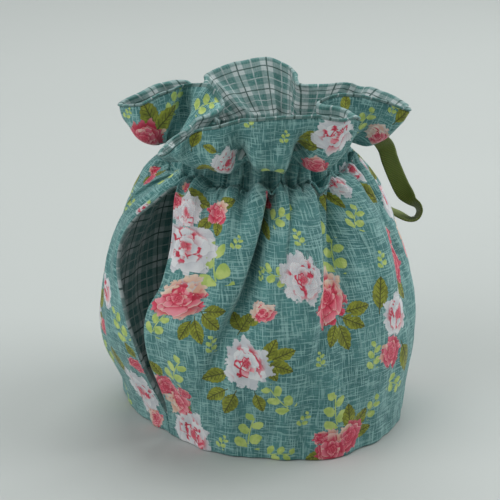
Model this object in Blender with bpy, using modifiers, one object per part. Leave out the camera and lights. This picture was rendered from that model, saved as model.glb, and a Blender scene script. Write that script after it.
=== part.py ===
"""Gathered tea cosy: two outer panels, two lining panels and a ribbon pulled out of the neck channel.

Units are metres, +Z is up. The cosy stands on its hem at z = 0. The slit for the spout faces -X, the slit
for the handle faces +X, and the front panel faces -Y. Angles are in degrees round +Z, counted from +X.
"""

import math

import bpy
import numpy as np

# Driving dimensions
OUTER_THICK_BODY = 0.0018
OUTER_THICK_FRILL = 0.0011
LINING_THICK = 0.0010
LAYER_GAP = 0.0007
SEAM_SHARE = 0.0023
LINING_LIFT = 0.0006
GATHERS_PER_PANEL = 11
GATHER_HEIGHT = 0.0017
# Depth below the floral face at which the gathers would be gone
GATHER_DEPTH_LIMIT = 0.0065
# Where the gathers start up the cloth and over what share of it they grow, and the same for their fading
GATHERS_START, GATHERS_GROW = 0.50, 0.20
GATHERS_END, GATHERS_FADE = 0.775, 0.10
# Where the padded cloth of the body starts to thin, and over what share of the cloth
PADDING_END, PADDING_FADE = 0.60, 0.15
RIBBON_WIDTH = 0.0095
RIBBON_THICK = 0.0008

# Mesh steps: four columns to a gather, and rows, which lie closer where the cloth bends more
COLUMNS = 4 * GATHERS_PER_PANEL
BODY_ROWS = (0.0, 0.04, 0.09, 0.16, 0.25, 0.34, 0.43, 0.51, 0.58, 0.63, 0.67, 0.70, 0.718, 0.735, 0.752)
FRILL_START = GATHERS_END
FRILL_ROWS = (FRILL_START, 0.82, 0.865, 0.91, 0.955, 1.0)
ROWS = BODY_ROWS + FRILL_ROWS
RIBBON_STEPS = 56
# A fold sharper than this shows as an edge
SHARP_DEG = 50.0
# Points below this share of the cloth's length are on the hem's edge
HEM_EDGE = 1e-6

# Shape of the cloth from the hem to the top of the neck channel: share of the cloth's length, radius, height
PROFILE = (
    (0.000, 0.0810, 0.0000),
    (0.060, 0.0815, 0.0125),
    (0.200, 0.0842, 0.0420),
    (0.350, 0.0824, 0.0740),
    (0.500, 0.0748, 0.1040),
    (0.590, 0.0668, 0.1215),
    (0.655, 0.0590, 0.1325),
    (0.700, 0.0515, 0.1370),
    (0.726, 0.0462, 0.1372),
    (0.745, 0.0446, 0.1402),
    (0.775, 0.0450, 0.1470),
)

# Outline of the hem on the table: angle, radius, share of the cloth's length where the hem's shape has run
# out. The hem is drawn in below the spout and curls under a little behind it
HEM_OUTLINE = (
    (0, 0.0755, 0.36),
    (40, 0.0790, 0.30),
    (90, 0.0790, 0.30),
    (124, 0.0765, 0.28),
    (146, 0.0695, 0.25),
    (164, 0.0645, 0.28),
    (182, 0.0635, 0.34),
    (197, 0.0665, 0.36),
    (212, 0.0700, 0.36),
    (228, 0.0715, 0.34),
    (248, 0.0775, 0.30),
    (260, 0.0815, 0.26),
    (274, 0.0805, 0.26),
    (290, 0.0800, 0.26),
    (312, 0.0780, 0.30),
    (336, 0.0765, 0.34),
)

# The slits by height: height, half the opening at the spout, half the opening at the handle, and the angle by
# which the spout's slit lies off -X
SLITS = (
    (0.000, 0.0000, 0.0000, 4.5),
    (0.012, 0.0000, 0.0000, 4.5),
    (0.022, 0.0014, 0.0012, 4.5),
    (0.055, 0.0024, 0.0036, 4.0),
    (0.066, 0.0056, 0.0062, 2.5),
    (0.076, 0.0106, 0.0082, 0.8),
    (0.090, 0.0192, 0.0100, -1.0),
    (0.102, 0.0204, 0.0104, -1.5),
    (0.115, 0.0150, 0.0080, 1.0),
    (0.127, 0.0056, 0.0036, 4.5),
    (0.135, 0.0000, 0.0000, 6.0),
    (0.200, 0.0000, 0.0000, 6.0),
)
# Share of a panel's width that a slit pushes aside, and how far round the spout slit's lean is felt
SLIT_PULL_SHARE = 0.35
SLIT_SHIFT_REACH_DEG = 80.0

# Share of the cloth's length at the gathered line below the neck channel
NECK_SHARE = 0.726

# Main folds that run down from the neck: angle at the neck, angle at the lower end, depth, half width in
# degrees, share of the cloth's length where the fold has run out
MAIN_FOLDS = (
    (22, 16, 0.0040, 6.0, 0.34),
    (52, 56, 0.0050, 7.0, 0.28),
    (84, 80, 0.0044, 6.5, 0.36),
    (112, 118, 0.0054, 7.0, 0.30),
    (138, 143, 0.0052, 6.0, 0.22),
    (159, 158, 0.0040, 5.0, 0.34),
    (203, 199, 0.0030, 4.5, 0.46),
    (233, 216, 0.0082, 5.5, 0.12),
    (249, 246, 0.0026, 4.5, 0.50),
    (266, 255, 0.0062, 5.5, 0.34),
    (280, 275, 0.0034, 4.5, 0.44),
    (294, 300, 0.0054, 6.0, 0.30),
    (316, 325, 0.0048, 6.0, 0.26),
    (340, 344, 0.0038, 5.0, 0.40),
)
# A main fold is narrow at the neck and opens lower down: share of its width at the neck, and what it gains
FOLD_NECK_WIDTH, FOLD_WIDENING = 0.75, 0.60
# Share of a main fold's length over which it deepens below the neck
FOLD_DEEPENS = 0.16

# The frill's rim, counted on round the cosy from the handle seam over the back to the spout seam, and from
# there over the front to the handle seam again: angle, radius, height, and the share of its reach by which
# the frill bellies out before it rises
BACK_RIM = (
    (0, 0.0640, 0.1670, 0.40),
    (21, 0.0460, 0.1670, 0.30),
    (31, 0.0580, 0.1700, 0.30),
    (43, 0.0655, 0.1740, 0.40),
    (56, 0.0655, 0.1745, 0.40),
    (68, 0.0625, 0.1725, 0.40),
    (82, 0.0590, 0.1685, 0.35),
    (92, 0.0430, 0.1665, 0.30),
    (102, 0.0510, 0.1705, 0.40),
    (119, 0.0610, 0.1700, 0.60),
    (135, 0.0710, 0.1655, 0.74),
    (143, 0.0700, 0.1655, 0.82),
    (148, 0.0600, 0.1690, 0.78),
    (143, 0.0470, 0.1735, 0.60),
    (138, 0.0350, 0.1760, 0.35),
    (134, 0.0265, 0.1760, 0.25),
    (148, 0.0200, 0.1715, 0.20),
    (175, 0.0225, 0.1680, 0.20),
    (178, 0.0380, 0.1645, 0.25),
)
FRONT_RIM = (
    (179, 0.0520, 0.1610, 0.50),
    (185, 0.0700, 0.1575, 0.80),
    (193, 0.0730, 0.1595, 0.95),
    (205, 0.0670, 0.1690, 1.00),
    (228, 0.0625, 0.1755, 0.95),
    (248, 0.0620, 0.1765, 0.90),
    (264, 0.0650, 0.1745, 0.85),
    (275, 0.0675, 0.1725, 0.85),
    (281, 0.0670, 0.1705, 0.75),
    (286, 0.0540, 0.1715, 0.50),
    (289, 0.0380, 0.1730, 0.40),
    (304, 0.0430, 0.1755, 0.50),
    (312, 0.0620, 0.1720, 0.70),
    (318, 0.0770, 0.1650, 0.80),
    (326, 0.0785, 0.1635, 0.80),
    (340, 0.0740, 0.1650, 0.60),
)
RIM_SAMPLES = 24
# How soon the frill climbs from the channel, less so where it bellies, and how late it still climbs at the
# rim, as shares of its rise
FRILL_CLIMB = 0.45
BELLY_DROOP = 0.50
RIM_CLIMB = 0.35

# Folds that run up the front of the frill: share across the front panel at the channel and at the rim, depth,
# half width as a share of the panel
FRILL_FOLDS = (
    (0.25, 0.21, 0.0022, 0.022),
    (0.35, 0.34, 0.0034, 0.026),
    (0.46, 0.47, 0.0020, 0.020),
    (0.55, 0.56, 0.0030, 0.024),
    (0.88, 0.86, 0.0024, 0.024),
)
# Share of the frill's height over which its folds deepen, and the share of their depth lost by the rim
FRILL_FOLD_DEEPENS, FRILL_FOLD_FADE = 0.35, 0.70

# The ribbon's loop beside the handle slit: angle, radius, height, angle and tilt of the ribbon's width
RIBBON_ROUTE = (
    (350.0, 0.0490, 0.1425, -90, 0),
    (351.0, 0.0560, 0.1450, -86, 0),
    (354.0, 0.0700, 0.1415, -66, 8),
    (357.9, 0.0853, 0.1298, -36, 20),
    (356.7, 0.0879, 0.1211, -30, 21),
    (355.3, 0.0911, 0.1117, -30, 21),
    (353.9, 0.0945, 0.1035, -44, 21),
    (352.2, 0.0975, 0.0988, -84, 22),
    (350.3, 0.1000, 0.0960, -108, 20),
    (349.2, 0.0999, 0.0926, -115, 16),
    (349.0, 0.0970, 0.0895, -118, 9),
    (351.0, 0.0935, 0.0892, -118, 0),
    (357.0, 0.0918, 0.0914, -112, -10),
    (363.5, 0.0915, 0.0960, -98, -10),
    (369.0, 0.0885, 0.1035, -86, -4),
    (373.0, 0.0830, 0.1150, -80, 0),
    (375.0, 0.0750, 0.1270, -77, 0),
    (374.5, 0.0660, 0.1380, -76, 0),
    (372.0, 0.0570, 0.1435, -78, 0),
    (370.0, 0.0490, 0.1425, -80, 0),
)

TEAL = (0.20, 0.39, 0.39, 1.0)
CHECK_TEAL = (0.36, 0.58, 0.55, 1.0)
OLIVE = (0.14, 0.21, 0.04, 1.0)
CLOTH_ROUGHNESS = 0.9
RIBBON_ROUGHNESS = 0.6
STEP = 0.001


def smooth_table(table, column, at, period=None):
    """Values of one column of a table, read at any place along its first column on a smooth curve.

    The curve is a cubic between neighbouring rows, with its slope at a row set by the rows on both sides.
    """
    knots = np.array([row[0] for row in table], float)
    values = np.array([row[column] for row in table], float)
    if period:
        at = np.mod(at, period)
        knots = np.concatenate([knots[-2:] - period, knots, knots[:2] + period])
        values = np.concatenate([values[-2:], values, values[:2]])
    slopes = np.gradient(values, knots)
    index = np.clip(np.searchsorted(knots, at, side="right") - 1, 0, len(knots) - 2)
    width = knots[index + 1] - knots[index]
    along = np.clip((at - knots[index]) / width, 0.0, 1.0)
    square, cube = along**2, along**3
    return (
        values[index] * (2 * cube - 3 * square + 1)
        + values[index + 1] * (3 * square - 2 * cube)
        + slopes[index] * width * (cube - 2 * square + along)
        + slopes[index + 1] * width * (cube - square)
    )


def ease(x):
    """Smooth step from 0 to 1, level at both ends."""
    x = np.clip(x, 0.0, 1.0)
    return x * x * (3 - 2 * x)


def polar(angle_deg, radius, height):
    """Points from angles in degrees, radii and heights."""
    angle = np.radians(angle_deg)
    return np.stack([radius * np.cos(angle), radius * np.sin(angle), height + 0 * angle], axis=-1)


def closed_spline(points, samples):
    """Points on a smooth closed curve through the given points, with so many samples to each stretch."""
    before, after = np.roll(points, 1, axis=0), np.roll(points, -1, axis=0)
    slopes = (after - before) / 2
    along = (np.arange(samples) / samples)[None, :, None]
    square, cube = along**2, along**3
    start, end = points[:, None, :], after[:, None, :]
    start_slope, end_slope = slopes[:, None, :], np.roll(slopes, -1, axis=0)[:, None, :]
    curve = (
        start * (2 * cube - 3 * square + 1)
        + end * (3 * square - 2 * cube)
        + start_slope * (cube - 2 * square + along)
        + end_slope * (cube - square)
    )
    return curve.reshape(-1, points.shape[1])


def rim_curves():
    """The frill's rim for each panel, from seam to seam: X, Y, height and belly share of each point."""
    rows = np.array(BACK_RIM + FRONT_RIM, float)
    places = polar(rows[:, 0], rows[:, 1], rows[:, 2])
    curve = closed_spline(np.concatenate([places, rows[:, 3:]], axis=1), RIM_SAMPLES)
    curve = np.concatenate([curve, curve[:1]])
    split = len(BACK_RIM) * RIM_SAMPLES
    return {"back": curve[: split + 1], "front": curve[split:]}


def along_curve(curve, share):
    """Places and belly shares at given shares of a rim curve's length."""
    steps = np.linalg.norm(np.diff(curve[:, :3], axis=0), axis=1)
    length = np.concatenate([[0.0], np.cumsum(steps)])
    values = [np.interp(share * length[-1], length, curve[:, k]) for k in range(4)]
    return np.stack(values[:3], axis=-1), values[3][..., None]


RIM = rim_curves()
PANEL_START_DEG = {"back": 0.0, "front": 180.0}
PANEL_SPAN_DEG = 180.0


def slit_pull(panel, across, height, radius):
    """Angle by which the slits push the cloth of a panel back from its two side edges, in degrees."""
    spout = np.maximum(smooth_table(SLITS, 1, height), 0.0)
    handle = np.maximum(smooth_table(SLITS, 2, height), 0.0)
    at_start, at_end = (spout, handle) if panel == "front" else (handle, spout)
    from_start = ease(1 - across / SLIT_PULL_SHARE)
    from_end = ease(1 - (1 - across) / SLIT_PULL_SHARE)
    pull = at_start * from_start - at_end * from_end
    return np.degrees(pull / radius)


def slit_shift(angle_deg, height):
    """Angle by which the cloth near the spout's slit is carried sideways with it."""
    near = ease(1 - np.abs(angle_deg - 180.0) / SLIT_SHIFT_REACH_DEG)
    return smooth_table(SLITS, 3, height) * near


def main_folds(angle_deg, share):
    """Depth of the main folds at a place on the body."""
    depth = 0.0 * angle_deg
    for neck_deg, low_deg, fold_depth, half_width, end_share in MAIN_FOLDS:
        down = np.clip((NECK_SHARE - share) / (NECK_SHARE - end_share), 0.0, 1.0)
        middle = neck_deg + (low_deg - neck_deg) * down
        off = np.mod(angle_deg - middle + 180.0, 360.0) - 180.0
        width = half_width * (FOLD_NECK_WIDTH + FOLD_WIDENING * down)
        fade = ease(down / FOLD_DEEPENS) * (1 - ease(down))
        depth = depth + fold_depth * fade * np.exp(-((off / width) ** 2))
    return depth


def body_base(panel, across, share):
    """Smooth middle shape of the body and the neck channel, without gathers."""
    angle = PANEL_START_DEG[panel] + PANEL_SPAN_DEG * across
    radius = smooth_table(PROFILE, 1, share)
    height = smooth_table(PROFILE, 2, share)
    hem_weight = 1 - ease(share / smooth_table(HEM_OUTLINE, 2, angle, 360.0))
    radius = radius + hem_weight * (smooth_table(HEM_OUTLINE, 1, angle, 360.0) - PROFILE[0][1])
    radius = radius - main_folds(angle, share)
    angle = angle + slit_pull(panel, across, height, radius) + slit_shift(angle, height)
    return polar(angle, radius, height)


def frill_base(panel, across, share):
    """Smooth middle shape of the frill: a curve from the channel's top, bellied out and then up to the rim."""
    out = ((share - FRILL_START) / (1 - FRILL_START))[..., None]
    start = body_base(panel, across, FRILL_START + 0 * share)
    end, belly = along_curve(RIM[panel], across)
    reach = end - start
    sideways, upward = np.array([1.0, 1.0, 0.0]), np.array([0.0, 0.0, 1.0])
    rise = start + reach * (sideways * belly + upward * (FRILL_CLIMB - BELLY_DROOP * belly))
    before_end = end - reach * (sideways * (1 - belly) / 2 + upward * RIM_CLIMB)
    return (
        start * (1 - out) ** 3
        + rise * 3 * out * (1 - out) ** 2
        + before_end * 3 * out**2 * (1 - out)
        + end * out**3
    )


def base(panel, across, share):
    """Middle shape of a panel's cloth anywhere from hem to rim."""
    body = body_base(panel, across, np.minimum(share, FRILL_START))
    frill = frill_base(panel, across, np.maximum(share, FRILL_START))
    return np.where((share > FRILL_START)[..., None], frill, body)


def outward(panel, across, share):
    """Unit vectors square to the cloth, pointing to the floral side."""
    left, right = np.clip(across - STEP, 0, 1), np.clip(across + STEP, 0, 1)
    low, high = np.clip(share - STEP, 0, 1), np.clip(share + STEP, 0, 1)
    around = base(panel, right, share) - base(panel, left, share)
    up = base(panel, across, high) - base(panel, across, low)
    normal = np.cross(around, up)
    return normal / np.linalg.norm(normal, axis=-1, keepdims=True)


def gathers(across, share):
    """Height of the small gathers over the middle shape: strongest at the channel, gone in body and frill."""
    wave = np.cos(2 * math.pi * GATHERS_PER_PANEL * across)
    rise = ease((share - GATHERS_START) / GATHERS_GROW)
    fall = 1 - ease((share - GATHERS_END) / GATHERS_FADE)
    return GATHER_HEIGHT * wave * rise * fall


def frill_folds(across, share):
    """Depth of the folds up the front of the frill: none at the channel, deepest half way, less at the rim."""
    out = np.clip((share - FRILL_START) / (1 - FRILL_START), 0.0, 1.0)
    depth = 0.0 * across
    for low_share, rim_share, fold_depth, half_width in FRILL_FOLDS:
        off = (across - low_share - (rim_share - low_share) * out) / half_width
        fade = ease(out / FRILL_FOLD_DEEPENS) * (1 - FRILL_FOLD_FADE * ease(out))
        depth = depth + fold_depth * fade * np.exp(-(off**2))
    return depth


def drape(panel, across, share, depth):
    """Place of a point of the flat cloth: across the panel, up it, and at a depth below the floral face."""
    across = SEAM_SHARE + (1 - 2 * SEAM_SHARE) * across
    height = gathers(across, share) * (1 - depth / GATHER_DEPTH_LIMIT) - depth
    if panel == "front":
        height = height - frill_folds(across, share)
    return base(panel, across, share) + outward(panel, across, share) * height[..., None]


def outer_thickness(share):
    """The outer cloth is padded in the body and thin in the frill."""
    thinning = ease((share - PADDING_END) / PADDING_FADE)
    return OUTER_THICK_BODY + (OUTER_THICK_FRILL - OUTER_THICK_BODY) * thinning


def flat_slab(name, columns, rows):
    """A flat slab of cloth one unit across, one unit up and one unit deep, cut into a grid, as a mesh."""
    bpy.ops.mesh.primitive_grid_add(
        x_subdivisions=columns, y_subdivisions=rows, size=1, location=(0.5, 0.5, 0)
    )
    grid = bpy.context.object
    bpy.ops.object.transform_apply(location=True)
    solidify = grid.modifiers.new("Thickness", "SOLIDIFY")
    solidify.thickness = 1.0
    solidify.offset = -1.0
    evaluated = grid.evaluated_get(bpy.context.evaluated_depsgraph_get())
    mesh = bpy.data.meshes.new_from_object(evaluated)
    mesh.name = name
    bpy.data.objects.remove(grid)
    return mesh


def get_points(mesh):
    """The mesh's vertices as an array."""
    points = np.zeros(len(mesh.vertices) * 3)
    mesh.vertices.foreach_get("co", points)
    return points.reshape(-1, 3)


def finish_mesh(mesh, points, material):
    """Puts the bent points back, shades the cloth smooth with crisp cut edges, and gives it its material."""
    mesh.vertices.foreach_set("co", points.ravel())
    mesh.update()
    mesh.shade_smooth()
    mesh.set_sharp_from_angle(angle=math.radians(SHARP_DEG))
    mesh.materials.append(material)


def add_object(name, mesh, collection):
    """One named object for one piece."""
    piece = bpy.data.objects.new(name, mesh)
    collection.objects.link(piece)
    return piece


def cloth_panel(name, panel, lining, material):
    """An outer or lining panel: the flat slab bent along the draped surface."""
    mesh = flat_slab(name, COLUMNS, len(ROWS) - 1)
    flat = get_points(mesh)
    across = flat[:, 0]
    share = np.interp(flat[:, 1], np.linspace(0, 1, len(ROWS)), ROWS)
    deep = -flat[:, 2]
    outer = outer_thickness(share)
    depth = outer + LAYER_GAP + deep * LINING_THICK if lining else deep * outer
    points = drape(panel, across, share, depth)
    at_hem = share < HEM_EDGE
    points[at_hem, 2] = LINING_LIFT if lining else 0.0
    finish_mesh(mesh, points, material)
    return mesh


def ribbon_mesh(name, material):
    """The ribbon: a flat slab carried along its route, with its width turned as the table says."""
    mesh = flat_slab(name, 2, RIBBON_STEPS)
    flat = get_points(mesh)
    knots = np.linspace(0, 1, len(RIBBON_ROUTE))
    table = [(knot, *row) for knot, row in zip(knots, RIBBON_ROUTE)]

    def middle(at):
        angle, radius, height = (smooth_table(table, column, at) for column in (1, 2, 3))
        return polar(angle, radius, height)

    at = flat[:, 1]
    forward = middle(np.minimum(at + STEP, 1)) - middle(np.maximum(at - STEP, 0))
    forward /= np.linalg.norm(forward, axis=1, keepdims=True)
    turn, tilt = (np.radians(smooth_table(table, column, at)) for column in (4, 5))
    width = np.stack([np.cos(tilt) * np.cos(turn), np.cos(tilt) * np.sin(turn), np.sin(tilt)], axis=1)
    width -= forward * np.sum(width * forward, axis=1, keepdims=True)
    width /= np.linalg.norm(width, axis=1, keepdims=True)
    face = np.cross(width, forward)
    sideways = width * (flat[:, :1] - 0.5) * RIBBON_WIDTH
    points = middle(at) + sideways + face * (flat[:, 2:] + 0.5) * RIBBON_THICK
    finish_mesh(mesh, points, material)
    return mesh


def make_material(name, colour, roughness):
    """A plain finish in the piece's colour."""
    material = bpy.data.materials.new(name)
    material.use_nodes = True
    shader = material.node_tree.nodes["Principled BSDF"]
    shader.inputs["Base Color"].default_value = colour
    shader.inputs["Roughness"].default_value = roughness
    shader.inputs["Metallic"].default_value = 0.0
    return material


def centre_pieces(panels, others):
    """Moves every mesh sideways so that the middle of the cloth's box is over the origin."""
    points = np.concatenate([get_points(mesh) for mesh in panels])
    middle = (points.min(axis=0) + points.max(axis=0)) / 2
    shift = np.array([-middle[0], -middle[1], 0.0])
    for mesh in panels + others:
        mesh.vertices.foreach_set("co", (get_points(mesh) + shift).ravel())
        mesh.update()
    print("sideways shift in metres:", shift[:2].round(5).tolist())


def main():
    for old in list(bpy.data.objects):
        bpy.data.objects.remove(old)
    cosy = bpy.data.collections.new("tea_cosy")
    bpy.context.scene.collection.children.link(cosy)
    floral = make_material("floral_cotton", TEAL, CLOTH_ROUGHNESS)
    check = make_material("checked_cotton", CHECK_TEAL, CLOTH_ROUGHNESS)
    grosgrain = make_material("grosgrain", OLIVE, RIBBON_ROUGHNESS)
    panels = {}
    for panel in ("front", "back"):
        panels[f"outer_{panel}"] = cloth_panel(f"outer_{panel}", panel, False, floral)
        panels[f"lining_{panel}"] = cloth_panel(f"lining_{panel}", panel, True, check)
    ribbon = ribbon_mesh("drawstring_ribbon", grosgrain)
    centre_pieces(list(panels.values()), [ribbon])
    for name, mesh in panels.items():
        add_object(name, mesh, cosy)
    add_object("drawstring_ribbon", ribbon, cosy)


main()
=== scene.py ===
"""Looks of the gathered tea cosy: printed cotton outside, checked lining, ribbon and stitched channel.

Metres, +Z up, in the frame of the CAD part. Angles are in degrees round +Z, counted from +X. A place on a
panel of cloth is two shares: across, from the seam where the panel starts to the seam where it ends, and up,
from the hem at 0 to the frill's rim at 1.
"""

import math

import bpy
import numpy as np
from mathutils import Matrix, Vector


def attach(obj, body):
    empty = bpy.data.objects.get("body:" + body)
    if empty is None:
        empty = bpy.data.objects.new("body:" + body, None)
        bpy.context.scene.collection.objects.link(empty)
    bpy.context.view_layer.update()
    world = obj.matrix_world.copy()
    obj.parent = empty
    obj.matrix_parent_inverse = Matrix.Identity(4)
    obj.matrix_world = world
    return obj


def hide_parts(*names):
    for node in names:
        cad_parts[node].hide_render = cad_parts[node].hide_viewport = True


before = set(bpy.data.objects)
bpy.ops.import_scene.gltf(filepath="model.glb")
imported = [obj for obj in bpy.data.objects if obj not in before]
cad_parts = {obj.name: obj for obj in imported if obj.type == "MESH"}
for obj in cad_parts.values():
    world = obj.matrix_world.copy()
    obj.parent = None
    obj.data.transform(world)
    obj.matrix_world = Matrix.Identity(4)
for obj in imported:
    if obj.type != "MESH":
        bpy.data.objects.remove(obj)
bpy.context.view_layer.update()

# Camera at the photo's place: turn round the cosy, height above the table, distance, and focal length in
# pixels of a frame 500 wide
CAMERA_TURN_DEG, CAMERA_UP_DEG = -38.0, 19.6
CAMERA_DISTANCE = 0.934
CAMERA_AIM_HEIGHT, CAMERA_AIM_LEFT = 0.0867, 0.00475
FOCAL_PIXELS, FRAME_PIXELS, SENSOR_MM = 1768, 500, 36.0

# The CAD part is centred by this sideways shift
SHIFT = np.array([-0.00022, 0.00007, 0.0])

# Cloth: the panel's flat size, the sheets' thickness, and the padded depth from floral face to lining face
FLAT_WIDTH, FLAT_LENGTH = 0.27, 0.209
SHEET_THICK = 0.0005
PAD_BODY, PAD_FRILL = 0.0033, 0.0020
SEAM_SHARE = 0.0023
# Shares from a side seam over which the tucks, and the relief, come up to their full size
TUCKS_CALM, SEAM_CALM = 0.03, 0.012
GATHERS_PER_PANEL = 11
GATHER_HEIGHT = 0.0013
PUCKERS_PER_PANEL = 31
PUCKER_DEPTH, PUCKER_DOWN, PUCKER_UP = 0.0016, 0.075, 0.045
STITCH_PULL, STITCH_PULL_WIDTH = 0.0015, 0.0042
NECK_SHARE = 0.726
FRILL_START = 0.775
LINING_FOLLOWS, LINING_SLACK = 0.90, 0.0030
STEP = 0.001

# Grid lines of a panel: extra ones near the edges in metres, then even ones between
EDGE_STEPS = (0.0, 0.00018, 0.00045, 0.0008, 0.0012, 0.0016, 0.0021, 0.0027)
COLUMNS = 284
ROW_BANDS = ((0.014, 0.60, 58), (0.60, 0.70, 18), (0.70, 0.79, 46), (0.79, 0.978, 24), (0.978, 0.9865, 7))
LINING_COLUMNS = 170
LINING_ROW_BANDS = ((0.014, 0.60, 60), (0.60, 0.80, 36), (0.80, 0.9865, 26))
EDGE_ROLL, EDGE_GAP = 0.0013, 0.00003
# An edge that the lining rolls round, up to the floral face
BOUND_ROLL, BOUND_RISE = 0.0026, 0.47
# The lining's binding on the floral side of the rim: its width, its swell, and the groove at its seam
BINDING_WIDTH, BINDING_SWELL, BINDING_GROOVE, GROOVE_WIDTH = 0.0030, 0.0004, 0.0007, 0.0007

# Shape from hem to channel: share up, radius, height
PROFILE = (
    (0.000, 0.0810, 0.0000),
    (0.060, 0.0815, 0.0125),
    (0.200, 0.0842, 0.0420),
    (0.350, 0.0824, 0.0740),
    (0.500, 0.0748, 0.1040),
    (0.590, 0.0668, 0.1215),
    (0.655, 0.0590, 0.1325),
    (0.700, 0.0515, 0.1370),
    (0.726, 0.0462, 0.1372),
    (0.745, 0.0446, 0.1402),
    (0.775, 0.0450, 0.1470),
)

# Hem on the table: angle, radius, share up where its shape has run out
HEM_OUTLINE = (
    (0, 0.0755, 0.36),
    (40, 0.0790, 0.30),
    (90, 0.0790, 0.30),
    (124, 0.0765, 0.28),
    (146, 0.0695, 0.25),
    (164, 0.0645, 0.28),
    (182, 0.0635, 0.34),
    (197, 0.0665, 0.36),
    (212, 0.0700, 0.36),
    (228, 0.0715, 0.34),
    (248, 0.0775, 0.30),
    (260, 0.0815, 0.26),
    (274, 0.0805, 0.26),
    (290, 0.0800, 0.26),
    (312, 0.0780, 0.30),
    (336, 0.0765, 0.34),
)

# Slits: height, half opening at the spout, half opening at the handle, lean of the spout's slit in degrees
SLITS = (
    (0.000, 0.0000, 0.0000, 4.5),
    (0.010, 0.0003, 0.0000, 4.5),
    (0.022, 0.0026, 0.0012, 4.5),
    (0.055, 0.0042, 0.0036, 4.0),
    (0.066, 0.0066, 0.0062, 2.5),
    (0.076, 0.0106, 0.0082, 0.8),
    (0.090, 0.0192, 0.0100, -1.0),
    (0.102, 0.0204, 0.0104, -1.5),
    (0.115, 0.0150, 0.0080, 1.0),
    (0.127, 0.0056, 0.0036, 4.5),
    (0.135, 0.0000, 0.0000, 6.0),
    (0.200, 0.0000, 0.0000, 6.0),
)
SLIT_PULL_SHARE = 0.35
SLIT_SHIFT_REACH_DEG = 80.0

# Soft main folds: angle at the neck, angle low down, depth, half width in degrees, share up where it ends
MAIN_FOLDS = (
    (22, 16, 0.0040, 6.0, 0.34),
    (52, 56, 0.0050, 7.0, 0.28),
    (84, 80, 0.0044, 6.5, 0.36),
    (112, 118, 0.0054, 7.0, 0.30),
    (138, 143, 0.0052, 6.0, 0.22),
    (159, 158, 0.0040, 5.0, 0.34),
    (203, 199, 0.0030, 4.5, 0.46),
    (233, 216, 0.0082, 5.5, 0.12),
    (249, 246, 0.0026, 4.5, 0.50),
    (266, 255, 0.0062, 5.5, 0.34),
    (280, 275, 0.0034, 4.5, 0.44),
    (270, 266, 0.0066, 9.0, 0.02),
    (316, 325, 0.0048, 6.0, 0.26),
    (340, 344, 0.0038, 5.0, 0.40),
)
FOLD_NECK_WIDTH, FOLD_WIDENING, FOLD_DEEPENS = 0.75, 0.60, 0.16

# Tucks, where the cloth folds over itself: the same columns, and the overlap of the bank on the far side
TUCKS = (
    (22, 17, 0.0056, 3.6, 0.34, 1.6),
    (38, 41, 0.0024, 2.8, 0.56, 0.6),
    (52, 55, 0.0078, 4.2, 0.20, 2.4),
    (68, 66, 0.0024, 2.8, 0.54, 0.6),
    (84, 81, 0.0070, 4.0, 0.24, 2.2),
    (98, 101, 0.0024, 2.8, 0.56, 0.6),
    (112, 117, 0.0080, 4.2, 0.20, 2.4),
    (127, 124, 0.0030, 3.0, 0.50, 0.8),
    (148, 133, 0.0070, 3.6, 0.36, 2.0),
    (160, 147, 0.0064, 3.4, 0.40, 1.8),
    (170, 160, 0.0032, 2.6, 0.50, 0.6),
    (197, 193, 0.0022, 2.4, 0.60, 0.4),
    (207, 200, 0.0036, 2.8, 0.50, 1.0),
    (220, 207, 0.0050, 3.2, 0.46, 1.4),
    (238, 198, 0.0150, 6.0, 0.04, 5.0),
    (250, 238, 0.0060, 3.4, 0.32, 2.0),
    (266, 247, 0.0140, 6.0, 0.06, 5.0),
    (284, 256, 0.0130, 5.0, 0.34, 4.0),
    (302, 292, 0.0110, 5.0, 0.14, 3.6),
    (311, 305, 0.0076, 3.8, 0.30, 2.4),
    (322, 318, 0.0120, 4.8, 0.10, 3.6),
    (333, 331, 0.0060, 3.6, 0.30, 1.8),
    (346, 345, 0.0035, 3.0, 0.44, 0.8),
)
TUCK_NEAR_SIDE, TUCK_FAR_SIDE, TUCK_DEEPENS = 0.60, 2.30, 0.12
# Middle and half width of the bank that folds over, in the tuck's own widths
BANK_MIDDLE, BANK_WIDTH = -0.85, 0.75

# Frill's rim from the handle seam over the back and on over the front: angle, radius, height, belly share
BACK_RIM = (
    (0, 0.0640, 0.1670, 0.40),
    (21, 0.0460, 0.1670, 0.30),
    (31, 0.0580, 0.1700, 0.30),
    (43, 0.0655, 0.1740, 0.40),
    (56, 0.0655, 0.1745, 0.40),
    (68, 0.0625, 0.1725, 0.40),
    (82, 0.0590, 0.1685, 0.35),
    (92, 0.0430, 0.1665, 0.30),
    (102, 0.0510, 0.1705, 0.40),
    (119, 0.0610, 0.1700, 0.60),
    (135, 0.0710, 0.1655, 0.74),
    (143, 0.0700, 0.1655, 0.82),
    (148, 0.0600, 0.1690, 0.78),
    (143, 0.0470, 0.1735, 0.60),
    (138, 0.0350, 0.1760, 0.35),
    (134, 0.0265, 0.1760, 0.25),
    (148, 0.0200, 0.1715, 0.20),
    (175, 0.0225, 0.1680, 0.20),
    (178, 0.0380, 0.1645, 0.25),
)
FRONT_RIM = (
    (179, 0.0510, 0.1590, 0.50),
    (185, 0.0685, 0.1545, 0.80),
    (193, 0.0720, 0.1565, 0.95),
    (205, 0.0670, 0.1690, 1.00),
    (228, 0.0625, 0.1755, 0.95),
    (248, 0.0620, 0.1765, 0.90),
    (264, 0.0650, 0.1745, 0.85),
    (275, 0.0675, 0.1725, 0.85),
    (281, 0.0670, 0.1705, 0.75),
    (286, 0.0540, 0.1715, 0.50),
    (289, 0.0380, 0.1730, 0.40),
    (304, 0.0430, 0.1755, 0.50),
    (312, 0.0620, 0.1720, 0.70),
    (318, 0.0770, 0.1650, 0.80),
    (326, 0.0785, 0.1635, 0.80),
    (340, 0.0740, 0.1650, 0.60),
)
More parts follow.
